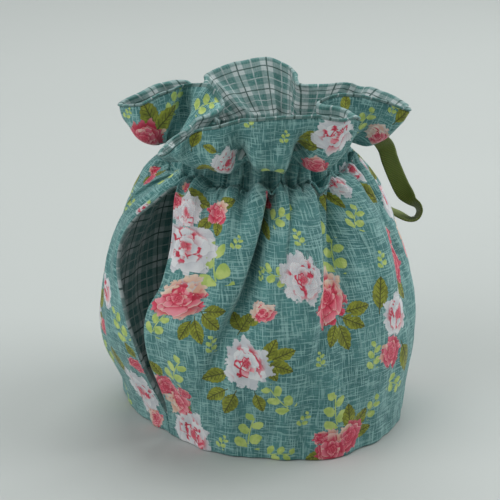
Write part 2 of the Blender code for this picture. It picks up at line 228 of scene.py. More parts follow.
RIM_SAMPLES = 24
FRILL_CLIMB, BELLY_DROOP, RIM_CLIMB = 0.45, 0.50, 0.35

# Folds up the frill, and billows with a depth below nothing between them: share across at the channel and at
# the rim, depth, half width as a share of the panel, share of the way out where it has run out. Each reaches
# its depth over the first share of the way out, and keeps it up to the second
FRILL_FOLD_DEEPENS, FRILL_FOLD_HOLDS = 0.18, 0.3
FRILL_FOLDS = {
    "front": (
        (0.100, 0.120, 0.0050, 0.018, 0.85),
        (0.180, 0.200, -0.0040, 0.034, 0.85),
        (0.248, 0.262, 0.0105, 0.018, 0.98),
        (0.318, 0.315, -0.0050, 0.036, 0.80),
        (0.388, 0.368, 0.0100, 0.018, 0.85),
        (0.455, 0.430, -0.0045, 0.034, 0.80),
        (0.535, 0.500, 0.0070, 0.016, 0.75),
        (0.680, 0.660, 0.0040, 0.018, 0.80),
        (0.78, 0.760, -0.0020, 0.030, 0.80),
        (0.87, 0.850, 0.0034, 0.020, 0.85),
    ),
    "back": (
        (0.10, 0.120, 0.0030, 0.020, 0.85),
        (0.21, 0.220, 0.0022, 0.018, 0.80),
        (0.33, 0.320, 0.0028, 0.020, 0.90),
        (0.47, 0.460, 0.0026, 0.018, 0.80),
        (0.58, 0.580, 0.0022, 0.016, 0.80),
        (0.68, 0.670, -0.0075, 0.050, 1.05),
        (0.80, 0.785, 0.0080, 0.020, 1.40),
        (0.90, 0.920, 0.0020, 0.014, 0.80),
    ),
}

# Gathers of a panel, one row to a valley: extra depth, share up where it ends in the body, and in the frill
GATHER_VALLEYS = {
    "front": (
        (0.0014, 0.62, 0.83),
        (0.0026, 0.58, 0.86),
        (0.0010, 0.66, 0.82),
        (0.0032, 0.52, 0.88),
        (0.0018, 0.64, 0.84),
        (0.0030, 0.56, 0.87),
        (0.0012, 0.65, 0.82),
        (0.0028, 0.55, 0.86),
        (0.0016, 0.62, 0.84),
        (0.0024, 0.54, 0.86),
        (0.0014, 0.60, 0.84),
    ),
    "back": (
        (0.0018, 0.58, 0.84),
        (0.0028, 0.54, 0.86),
        (0.0012, 0.64, 0.83),
        (0.0026, 0.56, 0.87),
        (0.0016, 0.62, 0.84),
        (0.0030, 0.53, 0.86),
        (0.0014, 0.60, 0.83),
        (0.0024, 0.55, 0.86),
        (0.0020, 0.61, 0.85),
        (0.0028, 0.57, 0.86),
        (0.0012, 0.63, 0.83),
    ),
}

# Small unevenness of the cloth: height, waves across a panel, waves up it, phase
RIPPLES = (
    (0.00060, 9.2, 1.1, 0.7),
    (0.00045, 14.3, -1.4, 2.6),
    (0.00022, 5.3, 2.2, 0.4),
    (0.00020, -7.1, 3.1, 1.9),
    (0.00016, 11.7, 4.3, 3.3),
    (0.00013, -16.9, 6.1, 5.0),
    (0.00010, 23.3, -8.7, 0.9),
    (0.00008, 31.0, 12.1, 2.2),
)

# The print: place across and up the panel, turn in degrees, half size in millimetres, tone from pale to deep
PRINT = {
    "front": {
        "rose": (
            (0.251, 0.261, 15, 11.5, 0.02),
            (0.378, 0.467, 100, 11, 0.00),
            (0.439, 0.403, -10, 11.5, 0.62),
            (0.065, 0.412, 20, 12, 0.58),
            (0.044, 0.536, 80, 13, 0.04),
            (0.042, 0.610, 80, 8.5, 0.00),
            (0.030, 0.687, 60, 4, 0.90),
            (0.144, 0.620, -30, 6.2, 0.75),
            (0.278, 0.646, 80, 3.8, 0.95),
            (0.302, 0.636, 60, 4.5, 1.00),
            (0.289, 0.390, 20, 5.6, 0.42),
            (0.666, 0.432, 20, 9, 0.95),
            (0.686, 0.490, 20, 4.5, 0.90),
            (0.608, 0.321, 70, 10.5, 0.12),
            (0.586, 0.235, 60, 8, 0.95),
            (0.476, 0.050, 30, 8, 0.95),
            (0.438, 0.029, 10, 9, 0.90),
            (0.415, 0.063, 10, 3.8, 1.00),
            (0.097, 0.034, 30, 12, 0.05),
            (0.054, 0.119, 100, 8, 0.55),
            (0.027, 0.160, 100, 6.5, 0.95),
            (0.082, 0.158, 10, 3.6, 0.95),
            (0.439, 0.945, 10, 10, 0.10),
            (0.425, 0.832, 0, 6, 0.90),
            (0.229, 0.866, 40, 7.5, 0.14),
            (0.759, 0.864, 60, 5.8, 0.40),
            (0.572, 0.662, 70, 8.5, 0.05),
            (0.690, 0.668, 70, 7.5, 0.05),
            (0.004, 0.631, 50, 4.5, 0.90),
        ),
        "leaf": (
            (0.305, 0.303, 62, 5.5, 0.60),
            (0.331, 0.290, 18, 5.5, 0.80),
            (0.325, 0.259, -22, 5.5, 0.50),
            (0.307, 0.247, -65, 4.5, 0.30),
            (0.171, 0.224, 200, 6, 0.40),
            (0.172, 0.173, 215, 5.5, 0.60),
            (0.207, 0.155, 245, 6, 0.10),
            (0.279, 0.161, 290, 4.8, 0.50),
            (0.224, 0.359, 120, 4.5, 0.20),
            (0.249, 0.358, 60, 5, 0.20),
            (0.508, 0.366, 8, 5.5, 0.70),
            (0.495, 0.335, -28, 5.5, 0.60),
            (0.469, 0.303, -72, 6, 0.50),
            (0.442, 0.313, -112, 5, 0.40),
            (0.421, 0.501, 82, 4.2, 0.30),
            (0.134, 0.335, -70, 5.5, 0.70),
            (0.107, 0.335, -115, 5, 0.50),
            (0.158, 0.364, -35, 5.5, 0.60),
            (0.162, 0.391, 5, 5, 0.30),
            (0.077, 0.647, -25, 6.5, 0.20),
            (0.175, 0.646, 15, 5, 0.10),
            (0.098, 0.588, 230, 4.5, 0.30),
            (0.144, 0.586, 260, 4, 0.30),
            (0.268, 0.607, 250, 4.5, 0.40),
            (0.298, 0.572, -60, 5.5, 0.30),
            (0.267, 0.367, 215, 4, 0.20),
            (0.665, 0.361, -70, 5.5, 0.30),
            (0.568, 0.391, 75, 7, 0.40),
            (0.646, 0.193, -68, 8, 0.50),
            (0.475, 0.107, 95, 6, 0.50),
            (0.505, 0.086, 55, 6, 0.40),
            (0.514, 0.052, 15, 5, 0.50),
            (0.404, 0.012, 200, 4.5, 0.40),
            (0.077, 0.118, -60, 4.5, 0.40),
            (0.015, 0.210, 120, 4.5, 0.40),
            (0.388, 0.926, 200, 4.5, 0.40),
            (0.389, 0.890, 190, 6.5, 0.10),
            (0.178, 0.848, 185, 5, 0.40),
            (0.205, 0.922, 160, 3.4, 0.30),
            (0.181, 0.975, 60, 5.2, 0.40),
            (0.665, 0.964, 80, 4.5, 0.90),
            (0.785, 0.977, 60, 5.5, 0.30),
            (0.554, 0.613, -60, 5, 0.30),
            (0.515, 0.605, -90, 4.5, 0.30),
            (0.689, 0.604, 120, 7, 0.30),
            (0.651, 0.601, -60, 5, 0.50),
            (0.010, 0.642, 30, 4, 0.20),
        ),
        "sprig": (
            (0.139, 0.509, 100, 11, 0.50),
            (0.345, 0.610, 15, 7, 0.60),
            (0.449, 0.572, 100, 10, 0.40),
            (0.492, 0.491, 75, 9.5, 0.70),
            (0.569, 0.575, 60, 6.5, 0.80),
            (0.314, 0.478, 160, 7, 0.40),
            (0.038, 0.342, 60, 7.5, 0.50),
            (0.075, 0.226, 60, 8.5, 0.70),
            (0.162, 0.308, 90, 4.5, 0.50),
            (0.257, 0.078, 80, 9.5, 0.40),
            (0.319, 0.177, 130, 8.5, 0.50),
            (0.441, 0.132, 95, 9.5, 0.60),
            (0.535, 0.110, 50, 6.5, 0.50),
            (0.614, 0.139, -30, 7, 0.70),
            (0.534, 0.247, 80, 6.5, 0.40),
            (0.332, 0.020, 5, 6.5, 0.50),
            (0.409, 0.266, 90, 3.5, 0.50),
            (0.288, 0.475, 90, 3.5, 0.60),
            (0.208, 0.556, 60, 3.5, 0.60),
            (0.379, 0.559, 100, 4, 0.50),
            (0.378, 0.116, 60, 4, 0.50),
            (0.189, 0.039, 60, 4, 0.50),
            (0.588, 0.469, 80, 4, 0.60),
            (0.277, 0.993, 90, 4, 0.70),
            (0.338, 0.819, 20, 8, 0.70),
            (0.341, 0.934, 70, 3, 0.50),
            (0.713, 0.911, 60, 6.5, 0.70),
            (0.763, 0.982, 60, 3.5, 0.80),
        ),
    },
    "back": {
        "rose": (
            (0.678, 0.868, -25, 10.5, 1.00),
            (0.939, 0.099, 60, 12, 0.04),
            (0.978, 0.192, 60, 4.5, 0.95),
            (0.913, 0.348, 90, 7.5, 0.08),
            (0.853, 0.245, 90, 4.5, 0.95),
            (0.948, 0.031, 60, 5.5, 0.50),
            (0.999, 0.588, 50, 4.5, 0.20),
        ),
        "leaf": (
            (0.700, 0.948, 100, 7, 0.40),
            (0.735, 0.905, 25, 7, 0.60),
            (0.896, 0.174, 85, 7.5, 0.30),
            (0.978, 0.234, 120, 4, 0.30),
            (0.836, 0.670, 60, 4, 0.30),
            (0.726, 0.589, 60, 5, 0.40),
        ),
        "sprig": (
            (0.765, 0.956, 50, 7, 0.50),
            (0.658, 0.959, 40, 3.5, 0.70),
            (0.846, 0.953, 60, 7, 0.70),
            (0.831, 0.173, 100, 8, 0.60),
            (0.965, 0.292, 110, 8, 0.50),
            (0.811, 0.010, -45, 5.5, 0.50),
            (0.923, 0.671, 60, 6, 0.50),
            (0.999, 0.601, 60, 6, 0.50),
            (0.858, 0.547, 60, 5, 0.40),
        ),
    },
}
# Where the photo shows nothing the print repeats the front's rows between two shares across and below one
# share up, moved across by a share
REPEATS = {
    "front": ((0.00, 0.16, 1.00, 0.84),),
    "back": ((0.10, 0.74, 1.00, -0.10), (0.13, 0.31, 0.70, 0.53)),
}
# How far from a motif's middle its own drawing may reach, in half sizes, and the squeeze across a long one
MOTIF_REACH = {"rose": 1.40, "leaf": 1.45, "sprig": 1.35}
PRINT_SCALE = {"rose": 1.18, "leaf": 1.22, "sprig": 1.12}
MOTIF_SLENDER = {"rose": 1.0, "leaf": 1.7, "sprig": 1.6}

# The ribbon's loop: angle, radius, height, angle and tilt of the ribbon's width
RIBBON_ROUTE = (
    (350.0, 0.0490, 0.1425, -90, 0),
    (351.0, 0.0560, 0.1450, -86, 0),
    (354.0, 0.0700, 0.1415, -66, 8),
    (357.9, 0.0853, 0.1298, -36, 20),
    (356.7, 0.0879, 0.1211, -30, 21),
    (355.3, 0.0911, 0.1117, -30, 21),
    (353.9, 0.0945, 0.1035, -44, 21),
    (352.2, 0.0975, 0.0988, -84, 22),
    (350.3, 0.1000, 0.0960, -108, 20),
    (349.2, 0.0999, 0.0926, -115, 16),
    (349.0, 0.0970, 0.0895, -118, 9),
    (351.0, 0.0935, 0.0892, -118, 0),
    (357.0, 0.0918, 0.0914, -112, -10),
    (363.5, 0.0915, 0.0960, -98, -10),
    (369.0, 0.0885, 0.1035, -86, -4),
    (373.0, 0.0830, 0.1150, -80, 0),
    (375.0, 0.0750, 0.1270, -77, 0),
    (374.5, 0.0660, 0.1380, -76, 0),
    (372.0, 0.0570, 0.1435, -78, 0),
    (370.0, 0.0490, 0.1425, -80, 0),
)
STITCH_PITCH, STITCH_LENGTH = 0.0029, 0.0022
STITCH_RADIUS, STITCH_LIFT = 0.00021, 0.00016
STITCH_RINGS, STITCH_SIDES = 5, 6
RIBBON_WIDTH, RIBBON_THICK = 0.0095, 0.0007
RIBBON_STEPS, RIBBON_ACROSS = 300, 8


def smooth_table(table, column, at, period=None):
    """Values of one column of a table at any place along its first: a cubic from row to row, with the slope
    at a row set by the rows on both sides."""
    knots = np.array([row[0] for row in table], float)
    values = np.array([row[column] for row in table], float)
    if period:
        at = np.mod(at, period)
        knots = np.concatenate([knots[-2:] - period, knots, knots[:2] + period])
        values = np.concatenate([values[-2:], values, values[:2]])
    slopes = np.gradient(values, knots)
    index = np.clip(np.searchsorted(knots, at, side="right") - 1, 0, len(knots) - 2)
    width = knots[index + 1] - knots[index]
    along = np.clip((at - knots[index]) / width, 0.0, 1.0)
    square, cube = along**2, along**3
    return (
        values[index] * (2 * cube - 3 * square + 1)
        + values[index + 1] * (3 * square - 2 * cube)
        + slopes[index] * width * (cube - 2 * square + along)
        + slopes[index + 1] * width * (cube - square)
    )


def ease(x):
    """Smooth step from 0 to 1, level at both ends: 3 x squared less 2 x cubed."""
    x = np.clip(x, 0.0, 1.0)
    return x * x * (3 - 2 * x)


def polar(angle_deg, radius, height):
    """Points from angles in degrees, radii and heights."""
    angle = np.radians(angle_deg)
    return np.stack([radius * np.cos(angle), radius * np.sin(angle), height + 0 * angle], axis=-1)


def closed_spline(points, samples):
    """A smooth closed curve through the points: cubics, with each point's slope set by its two neighbours."""
    before, after = np.roll(points, 1, axis=0), np.roll(points, -1, axis=0)
    slopes = (after - before) / 2
    along = (np.arange(samples) / samples)[None, :, None]
    square, cube = along**2, along**3
    start, end = points[:, None, :], after[:, None, :]
    start_slope, end_slope = slopes[:, None, :], np.roll(slopes, -1, axis=0)[:, None, :]
    curve = (
        start * (2 * cube - 3 * square + 1)
        + end * (3 * square - 2 * cube)
        + start_slope * (cube - 2 * square + along)
        + end_slope * (cube - square)
    )
    return curve.reshape(-1, points.shape[1])


def rim_curves():
    """The frill's rim for each panel, from seam to seam: X, Y, height and belly share of each point."""
    rows = np.array(BACK_RIM + FRONT_RIM, float)
    places = polar(rows[:, 0], rows[:, 1], rows[:, 2])
    curve = closed_spline(np.concatenate([places, rows[:, 3:]], axis=1), RIM_SAMPLES)
    curve = np.concatenate([curve, curve[:1]])
    split = len(BACK_RIM) * RIM_SAMPLES
    return {"back": curve[: split + 1], "front": curve[split:]}


def along_curve(curve, share):
    """Places and belly shares at given shares of a rim curve's length."""
    steps = np.linalg.norm(np.diff(curve[:, :3], axis=0), axis=1)
    length = np.concatenate([[0.0], np.cumsum(steps)])
    values = [np.interp(share * length[-1], length, curve[:, k]) for k in range(4)]
    return np.stack(values[:3], axis=-1), values[3][..., None]


RIM = rim_curves()
PANEL_START_DEG = {"back": 0.0, "front": 180.0}
PANEL_SPAN_DEG = 180.0


def slit_openings(height):
    """Half openings of the spout's and the handle's slit at a height."""
    return np.maximum(smooth_table(SLITS, 1, height), 0.0), np.maximum(smooth_table(SLITS, 2, height), 0.0)


def slit_pull(panel, across, height, radius):
    """Angle by which the slits push the cloth of a panel back from its two side edges, in degrees."""
    spout, handle = slit_openings(height)
    at_start, at_end = (spout, handle) if panel == "front" else (handle, spout)
    from_start = ease(1 - across / SLIT_PULL_SHARE)
    from_end = ease(1 - (1 - across) / SLIT_PULL_SHARE)
    return np.degrees((at_start * from_start - at_end * from_end) / radius)


def slit_shift(angle_deg, height):
    """Angle by which the cloth near the spout's slit is carried sideways with it."""
    near = ease(1 - np.abs(angle_deg - 180.0) / SLIT_SHIFT_REACH_DEG)
    return smooth_table(SLITS, 3, height) * near


def run_of_fold(row, angle_deg, share):
    """How far down its run a fold is, and how far off its middle line in degrees, at a place."""
    neck_deg, low_deg, end_share = row[0], row[1], row[4]
    down = np.clip((NECK_SHARE - share) / (NECK_SHARE - end_share), 0.0, 1.0)
    middle = neck_deg + (low_deg - neck_deg) * down
    return down, np.mod(angle_deg - middle + 180.0, 360.0) - 180.0


def main_folds(angle_deg, share):
    """Depth of the soft folds: a bell across each, deepening below the neck and running out lower down."""
    depth = 0.0 * angle_deg
    for row in MAIN_FOLDS:
        down, off = run_of_fold(row, angle_deg, share)
        width = row[3] * (FOLD_NECK_WIDTH + FOLD_WIDENING * down)
        depth = depth + row[2] * ease(down / FOLD_DEEPENS) * (1 - ease(down)) * np.exp(-((off / width) ** 2))
    return depth


def tuck_parts(row, angle_deg, share):
    """Strength of a tuck along its run, and its place across in its own widths, wider on its far side."""
    down, off = run_of_fold(row, angle_deg, share)
    off = off / (row[3] * (0.7 + 0.6 * down))
    return ease(down / TUCK_DEEPENS) * (1 - ease(down)), off


def tuck_depth(angle_deg, share):
    """Depth of the tucks: steep on the bank that folds over, and running out slowly on the other."""
    depth = 0.0 * angle_deg
    for row in TUCKS:
        strength, off = tuck_parts(row, angle_deg, share)
        off = off / np.where(off < 0, TUCK_NEAR_SIDE, TUCK_FAR_SIDE)
        depth = depth + row[2] * strength * np.exp(-(np.abs(off) ** 1.5))
    return depth


def tuck_overlap(angle_deg, share):
    """Angle by which the near bank of each tuck is carried over it: a bell on that bank."""
    shift = 0.0 * angle_deg
    for row in TUCKS:
        strength, off = tuck_parts(row, angle_deg, share)
        shift = shift + row[5] * strength * np.exp(-(((off - BANK_MIDDLE) / BANK_WIDTH) ** 2))
    return shift


def body_base(panel, across, share, folded=1.0, overlap=1.0):
    """Middle shape of the body and the channel: the profile turned round, drawn in at the hem and, where it
    is folded, at the folds and tucks."""
    angle = PANEL_START_DEG[panel] + PANEL_SPAN_DEG * across
    radius = smooth_table(PROFILE, 1, share)
    height = smooth_table(PROFILE, 2, share)
    hem_weight = 1 - ease(share / smooth_table(HEM_OUTLINE, 2, angle, 360.0))
    radius = radius + hem_weight * (smooth_table(HEM_OUTLINE, 1, angle, 360.0) - PROFILE[0][1])
    calm = ease(np.minimum(across, 1 - across) / TUCKS_CALM)
    pushed = slit_pull(panel, across, height, radius) + slit_shift(angle, height)
    radius = radius - folded * (main_folds(angle, share) + calm * tuck_depth(angle, share))
    angle = angle + pushed + overlap * calm * tuck_overlap(angle, share)
    return polar(angle, radius, height)


def frill_base(panel, across, share):
    """Smooth middle shape of the frill: a Bezier curve from the channel's top out and up to the rim."""
    out = ((share - FRILL_START) / (1 - FRILL_START))[..., None]
    start = body_base(panel, across, FRILL_START + 0 * share)
    end, belly = along_curve(RIM[panel], across)
    reach = end - start
    sideways, upward = np.array([1.0, 1.0, 0.0]), np.array([0.0, 0.0, 1.0])
    rise = start + reach * (sideways * belly + upward * (FRILL_CLIMB - BELLY_DROOP * belly))
    before_end = end - reach * (sideways * (1 - belly) / 2 + upward * RIM_CLIMB)
    return (
        start * (1 - out) ** 3
        + rise * 3 * out * (1 - out) ** 2
        + before_end * 3 * out**2 * (1 - out)
        + end * out**3
    )


def base(panel, across, share, folded=1.0, overlap=1.0):
    """Middle shape of a panel's cloth anywhere from hem to rim."""
    body = body_base(panel, across, np.minimum(share, FRILL_START), folded, overlap)
    frill = frill_base(panel, across, np.maximum(share, FRILL_START))
    return np.where((share > FRILL_START)[..., None], frill, body)


def outward(panel, across, share):
    """Unit vectors square to the cloth without its folds, pointing to the floral side: the cross product of
    its two slopes."""
    left, right = np.clip(across - STEP, 0, 1), np.clip(across + STEP, 0, 1)
    low, high = np.clip(share - STEP, 0, 1), np.clip(share + STEP, 0, 1)
    around = base(panel, right, share, 0, 0) - base(panel, left, share, 0, 0)
    up = base(panel, across, high, 0, 0) - base(panel, across, low, 0, 0)
    normal = np.cross(around, up)
    return normal / np.linalg.norm(normal, axis=-1, keepdims=True)


def gathers(panel, across, share):
    """Relief of the gathers: a cosine wave of uneven width, with valleys drawn in by their own depths."""
    uneven = 0.16 * np.sin(2 * math.pi * 3 * across) + 0.12 * np.sin(2 * math.pi * 5 * across)
    turn = GATHERS_PER_PANEL * across + uneven
    wave = np.cos(2 * math.pi * turn)
    rise = ease((share - 0.50) / 0.20)
    fall = 1 - ease((share - 0.775) / 0.06)
    relief = GATHER_HEIGHT * wave * rise * fall
    valley = (0.5 - 0.5 * wave) ** 3
    number = np.clip(turn.astype(int), 0, GATHERS_PER_PANEL - 1)
    rows = np.array(GATHER_VALLEYS[panel])[number]
    below = ease((share - rows[..., 1]) / (NECK_SHARE - rows[..., 1]))
    above = 1 - ease((share - NECK_SHARE) / (rows[..., 2] - NECK_SHARE))
    return relief - rows[..., 0] * valley * below * above


def puckers(panel, across, share):
    """Depth of the puckers at the channel: one less the size of a sine, so that they are sharp and stand at
    uneven distances, with depths and lengths that change from each to the next."""
    start = 0.0 if panel == "front" else 1.7
    middle = (NECK_SHARE + FRILL_START) / 2
    lean = 9.0 * (share - middle) * np.sin(2 * math.pi * 4 * across + start)
    uneven = 0.42 * np.sin(2 * math.pi * 5 * across + 0.8 + start)
    uneven = uneven + 0.30 * np.sin(2 * math.pi * 13 * across + 2)
    turn = PUCKERS_PER_PANEL * across + uneven + lean
    size = 1 + 0.55 * np.sin(1.9 * turn + 0.3 + start) + 0.35 * np.sin(4.7 * turn)
    down = PUCKER_DOWN * (1 + 0.6 * np.sin(2.9 * turn + start))
    up = PUCKER_UP * (1 + 0.5 * np.sin(3.7 * turn))
    run = ease(1 - (NECK_SHARE - share) / down) * ease(1 - (share - FRILL_START) / up)
    return PUCKER_DEPTH * size * run * (1 - np.abs(np.sin(math.pi * turn)))


def channel(across, share):
    """Relief of the drawstring channel: puffed between its two stitched lines, which pull the cloth in."""
    middle = (NECK_SHARE + FRILL_START) / 2
    relief = 0.0008 * np.exp(-(((share - middle) / 0.014) ** 2))
    for line in (NECK_SHARE, FRILL_START):
        uneven = 0.75 + 0.25 * np.sin(2 * math.pi * 17 * across + 40 * line)
        relief = relief - STITCH_PULL * uneven * np.exp(-np.abs((share - line) / STITCH_PULL_WIDTH) ** 1.5)
    return relief


def frill_folds(panel, across, share):
    """Depth of the folds and billows up the frill: bells that start at the channel and fade outwards."""
    out = np.clip((share - FRILL_START) / (1 - FRILL_START), 0.0, 1.0)
    depth = 0.0 * across
    for low_share, rim_share, fold_depth, half_width, gone in FRILL_FOLDS[panel]:
        off = (across - low_share - (rim_share - low_share) * out) / half_width
        fading = 1 - ease((out - FRILL_FOLD_HOLDS) / (gone - FRILL_FOLD_HOLDS))
        depth = depth + fold_depth * ease(out / FRILL_FOLD_DEEPENS) * fading * np.exp(-(off**2))
    return depth


def binding(share):
    """Relief of the rim's binding: swollen up to its seam, where a narrow groove is pulled in."""
    off = (1 - share) * FLAT_LENGTH
    swell = BINDING_SWELL * (1 - ease(off / BINDING_WIDTH)) * ease(off / 0.0006)
    return swell - BINDING_GROOVE * np.exp(-(((off - BINDING_WIDTH) / GROOVE_WIDTH) ** 2))


def ripples(panel, across, share):
    """Small unevenness: a sum of slanting sine waves, stronger round the gathers and the frill."""
    turn = 0.0 if panel == "front" else 2.7
    strength = 0.7 + 1.6 * np.exp(-(((share - NECK_SHARE) / 0.16) ** 2)) + 1.3 * ease((share - 0.86) / 0.1)
    height = 0.0 * across
    for size, waves_across, waves_up, phase in RIPPLES:
        along = 2 * math.pi * (waves_across * across + waves_up * share)
        height = height + size * np.sin(along + phase + turn)
    return height * strength


def edge_depth(panel, across, share, lining, spout_open):
    """Depth below the floral face: flat on each sheet, and rolled to where the two meet at the edges.

    Near an edge the depth follows a quarter of an ellipse, from the sheet's own depth to the meeting depth.
    The lining rolls round the frill's rim, and round the back panel's edge of the spout's slit, to the face.
    """
    pad = PAD_BODY + (PAD_FRILL - PAD_BODY) * ease((share - 0.60) / 0.15)
    if lining:
        from_edge = np.minimum(np.minimum(across, 1 - across) * FLAT_WIDTH, share * FLAT_LENGTH)
        pad = pad + LINING_SLACK * ease((from_edge - 0.004) / 0.02) * (1 - ease((share - 0.60) / 0.09))
    depth = pad if lining else 0.0 * pad
    bound = ease(spout_open) if panel == "back" else 0.0 * share
    edges = (
        (across * FLAT_WIDTH, EDGE_ROLL, 0.5 + 0.0 * share),
        ((1 - across) * FLAT_WIDTH, EDGE_ROLL + (BOUND_ROLL - EDGE_ROLL) * bound, 0.5 - BOUND_RISE * bound),
        (share * FLAT_LENGTH, EDGE_ROLL, 0.5 + 0.0 * share),
        ((1 - share) * FLAT_LENGTH, BOUND_ROLL, 0.5 - BOUND_RISE + 0.0 * share),
    )
    rolled, gone_most = depth, 0.0 * share
    for off, roll, meet in edges:
        inside = np.clip(1 - off / roll, 0.0, 1.0)
        gone = 1 - np.sqrt(np.maximum(1 - inside**2, 0.0))
        line = pad * meet + (EDGE_GAP if lining else -EDGE_GAP)
        rolled = np.where(gone > gone_most, depth + (line - depth) * gone, rolled)
        gone_most = np.maximum(gone, gone_most)
    return rolled


def drape(panel, across, share, lining):
    """Place of a point of one sheet of a panel, with every fold, gather and edge roll."""
    height = smooth_table(PROFILE, 2, np.minimum(share, FRILL_START))
    spout, handle = slit_openings(height)
    opened = [ease(half / 0.0012) for half in ((spout, handle) if panel == "front" else (handle, spout))]
    start_seam, end_seam = SEAM_SHARE * opened[0], SEAM_SHARE * opened[1]
    place = start_seam + (1 - start_seam - end_seam) * across
    depth = edge_depth(panel, across, share, lining, opened[1])
    relief = (
        gathers(panel, place, share)
        + channel(place, share)
        + ripples(panel, place, share)
        - frill_folds(panel, place, share)
        - puckers(panel, place, share)
    )
    seam_calm = ease(np.minimum(place, 1 - place) / SEAM_CALM)
    relief = relief * seam_calm + gathers(panel, 0.0 * place, share) * (1 - seam_calm)
    if lining:
        relief = relief * LINING_FOLLOWS
    else:
        relief = relief + binding(share)
    middle = base(panel, place, share, 1.0, 0.0 if lining else 1.0)
    points = middle + outward(panel, place, share) * (relief - depth)[..., None]
    points = points + SHIFT
    points[..., 2] = np.maximum(points[..., 2], 0.0006 if lining else 0.0)
    return points


def grid_lines(columns, row_bands):
    """Grid lines of a panel as shares: close together at the edges, where the cloth rolls, even between."""
    edge = np.array(EDGE_STEPS) / FLAT_WIDTH
    inner = np.linspace(edge[-1], 1 - edge[-1], columns - 2 * len(edge) + 3)[1:-1]
    across = np.concatenate([edge, inner, 1 - edge[::-1]])
    edge = np.array(EDGE_STEPS) / FLAT_LENGTH
    rows = [edge]
    for low, high, count in row_bands:
        rows.append(np.linspace(low, high, count, endpoint=False))
    rows.append(1 - edge[::-1])
    return across, np.concatenate(rows)


def grid_mesh(name, points, flat, flip=False):
    """A mesh from a grid of points, with each point's place on the flat cloth in metres as its UV map."""
    rows, columns = points.shape[:2]
    index = np.arange(rows * columns).reshape(rows, columns)
    corners = [index[:-1, :-1], index[:-1, 1:], index[1:, 1:], index[1:, :-1]]
    quads = np.stack(corners, axis=-1).reshape(-1, 4)
    if flip:
        quads = quads[:, ::-1]
    mesh = bpy.data.meshes.new(name)
    mesh.from_pydata(points.reshape(-1, 3).tolist(), [], quads.tolist())
    layer = mesh.uv_layers.new(name="cloth")
    places = flat.reshape(-1, 2)[quads.ravel()].ravel()
    layer.uv.foreach_set("vector", places.astype(np.float32))
    mesh.shade_smooth()
    mesh.update()
    return mesh, quads


def add_piece(name, mesh, material):
    """One object at the origin that rides with the part and wears the given material."""
    piece = bpy.data.objects.new(name, mesh)
    bpy.context.scene.collection.objects.link(piece)
    mesh.materials.append(material)
    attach(piece, "root")
    return piece


def thicken(piece, thickness):
    """Gives a sheet its thickness behind its shown face."""
    modifier = piece.modifiers.new("Thickness", "SOLIDIFY")
    modifier.thickness = thickness
    modifier.offset = -1.0
    modifier.use_quality_normals = True


class Finish:
    """One material: every call adds a node to it and gives back the node's output."""

    def __init__(self, name):
        self.material = bpy.data.materials.new(name)
        self.material.use_nodes = True
        self.tree = self.material.node_tree
        self.shader = self.tree.nodes["Principled BSDF"]

    def node(self, kind, *inputs, **settings):
        """A node with its settings, and its first inputs set or linked in order."""
        made = self.tree.nodes.new("ShaderNode" + kind)
        for name, value in settings.items():
            setattr(made, name, value)
        for k, value in enumerate(inputs):
            self.put(made.inputs[k], value)
        return made

    def put(self, socket, value):
        """Links an output to a socket, or sets the socket's own value."""
        if isinstance(value, bpy.types.NodeSocket):
            self.tree.links.new(value, socket)
        elif value is not None:
            socket.default_value = value

    def sum(self, how, a, b=0.0, c=0.0):
        """One step of arithmetic."""
        return self.node("Math", a, b, c, operation=how).outputs[0]

    def rise(self, value, low, high):
        """Smooth step of a value from 0 at low to 1 at high."""
        made = self.node("MapRange", value, low, high, 0.0, 1.0, interpolation_type="SMOOTHSTEP")
        return made.outputs[0]

    def fall(self, value, low, high):
        """Smooth step of a value from 1 at low to 0 at high."""
        made = self.node("MapRange", value, low, high, 1.0, 0.0, interpolation_type="SMOOTHSTEP")
        return made.outputs[0]

    def blend(self, share, first, second):
        """Colour that goes from the first to the second by a share."""
        made = self.node("Mix", data_type="RGBA")
        self.put(made.inputs[0], share)
        self.put(made.inputs[6], first)
        self.put(made.inputs[7], second)
        return made.outputs[2]

    def point(self, x, y, z=0.0):
        """A vector from three values."""
        return self.node("CombineXYZ", x, y, z).outputs[0]

    def parts(self, vector):
        """The three values of a vector."""
        return tuple(self.node("SeparateXYZ", vector).outputs)

    def cloud(self, place, scale, detail=2.0):
        """Soft noise round a half."""
        made = self.node("TexNoise")
        self.put(made.inputs["Vector"], place)
        self.put(made.inputs["Scale"], scale)
        self.put(made.inputs["Detail"], detail)
        return made.outputs[0]

    def cells(self, place, feature):
        """Irregular cells at a scale of one."""
        made = self.node("TexVoronoi", feature=feature)
        self.put(made.inputs["Vector"], place)
        self.put(made.inputs["Scale"], 1.0)
        self.put(made.inputs["Randomness"], 0.85)
        return made.outputs

    def own_place(self, name):
        """A motif's own coordinates, its seed number and its tone."""
        made = self.node("Attribute", attribute_name=name)
        x, y, code = self.parts(made.outputs["Vector"])
        seed = self.sum("FLOOR", self.sum("MULTIPLY", code, 0.5))
        tone = self.sum("SUBTRACT", code, self.sum("MULTIPLY", seed, 2.0))
        return x, y, seed, tone

    def set(self, **values):
        """Values or links for the shader's own sockets, named with underlines for blanks."""
        for name, value in values.items():
            self.put(self.shader.inputs[name.replace("_", " ")], value)

    def relief(self, height, depth):
        """Fine relief from a height, so many metres deep."""
        bump = self.node("Bump")
        self.put(bump.inputs["Strength"], 1.0)
        self.put(bump.inputs["Distance"], depth)
        self.put(bump.inputs["Height"], height)
        self.put(self.shader.inputs["Normal"], bump.outputs[0])


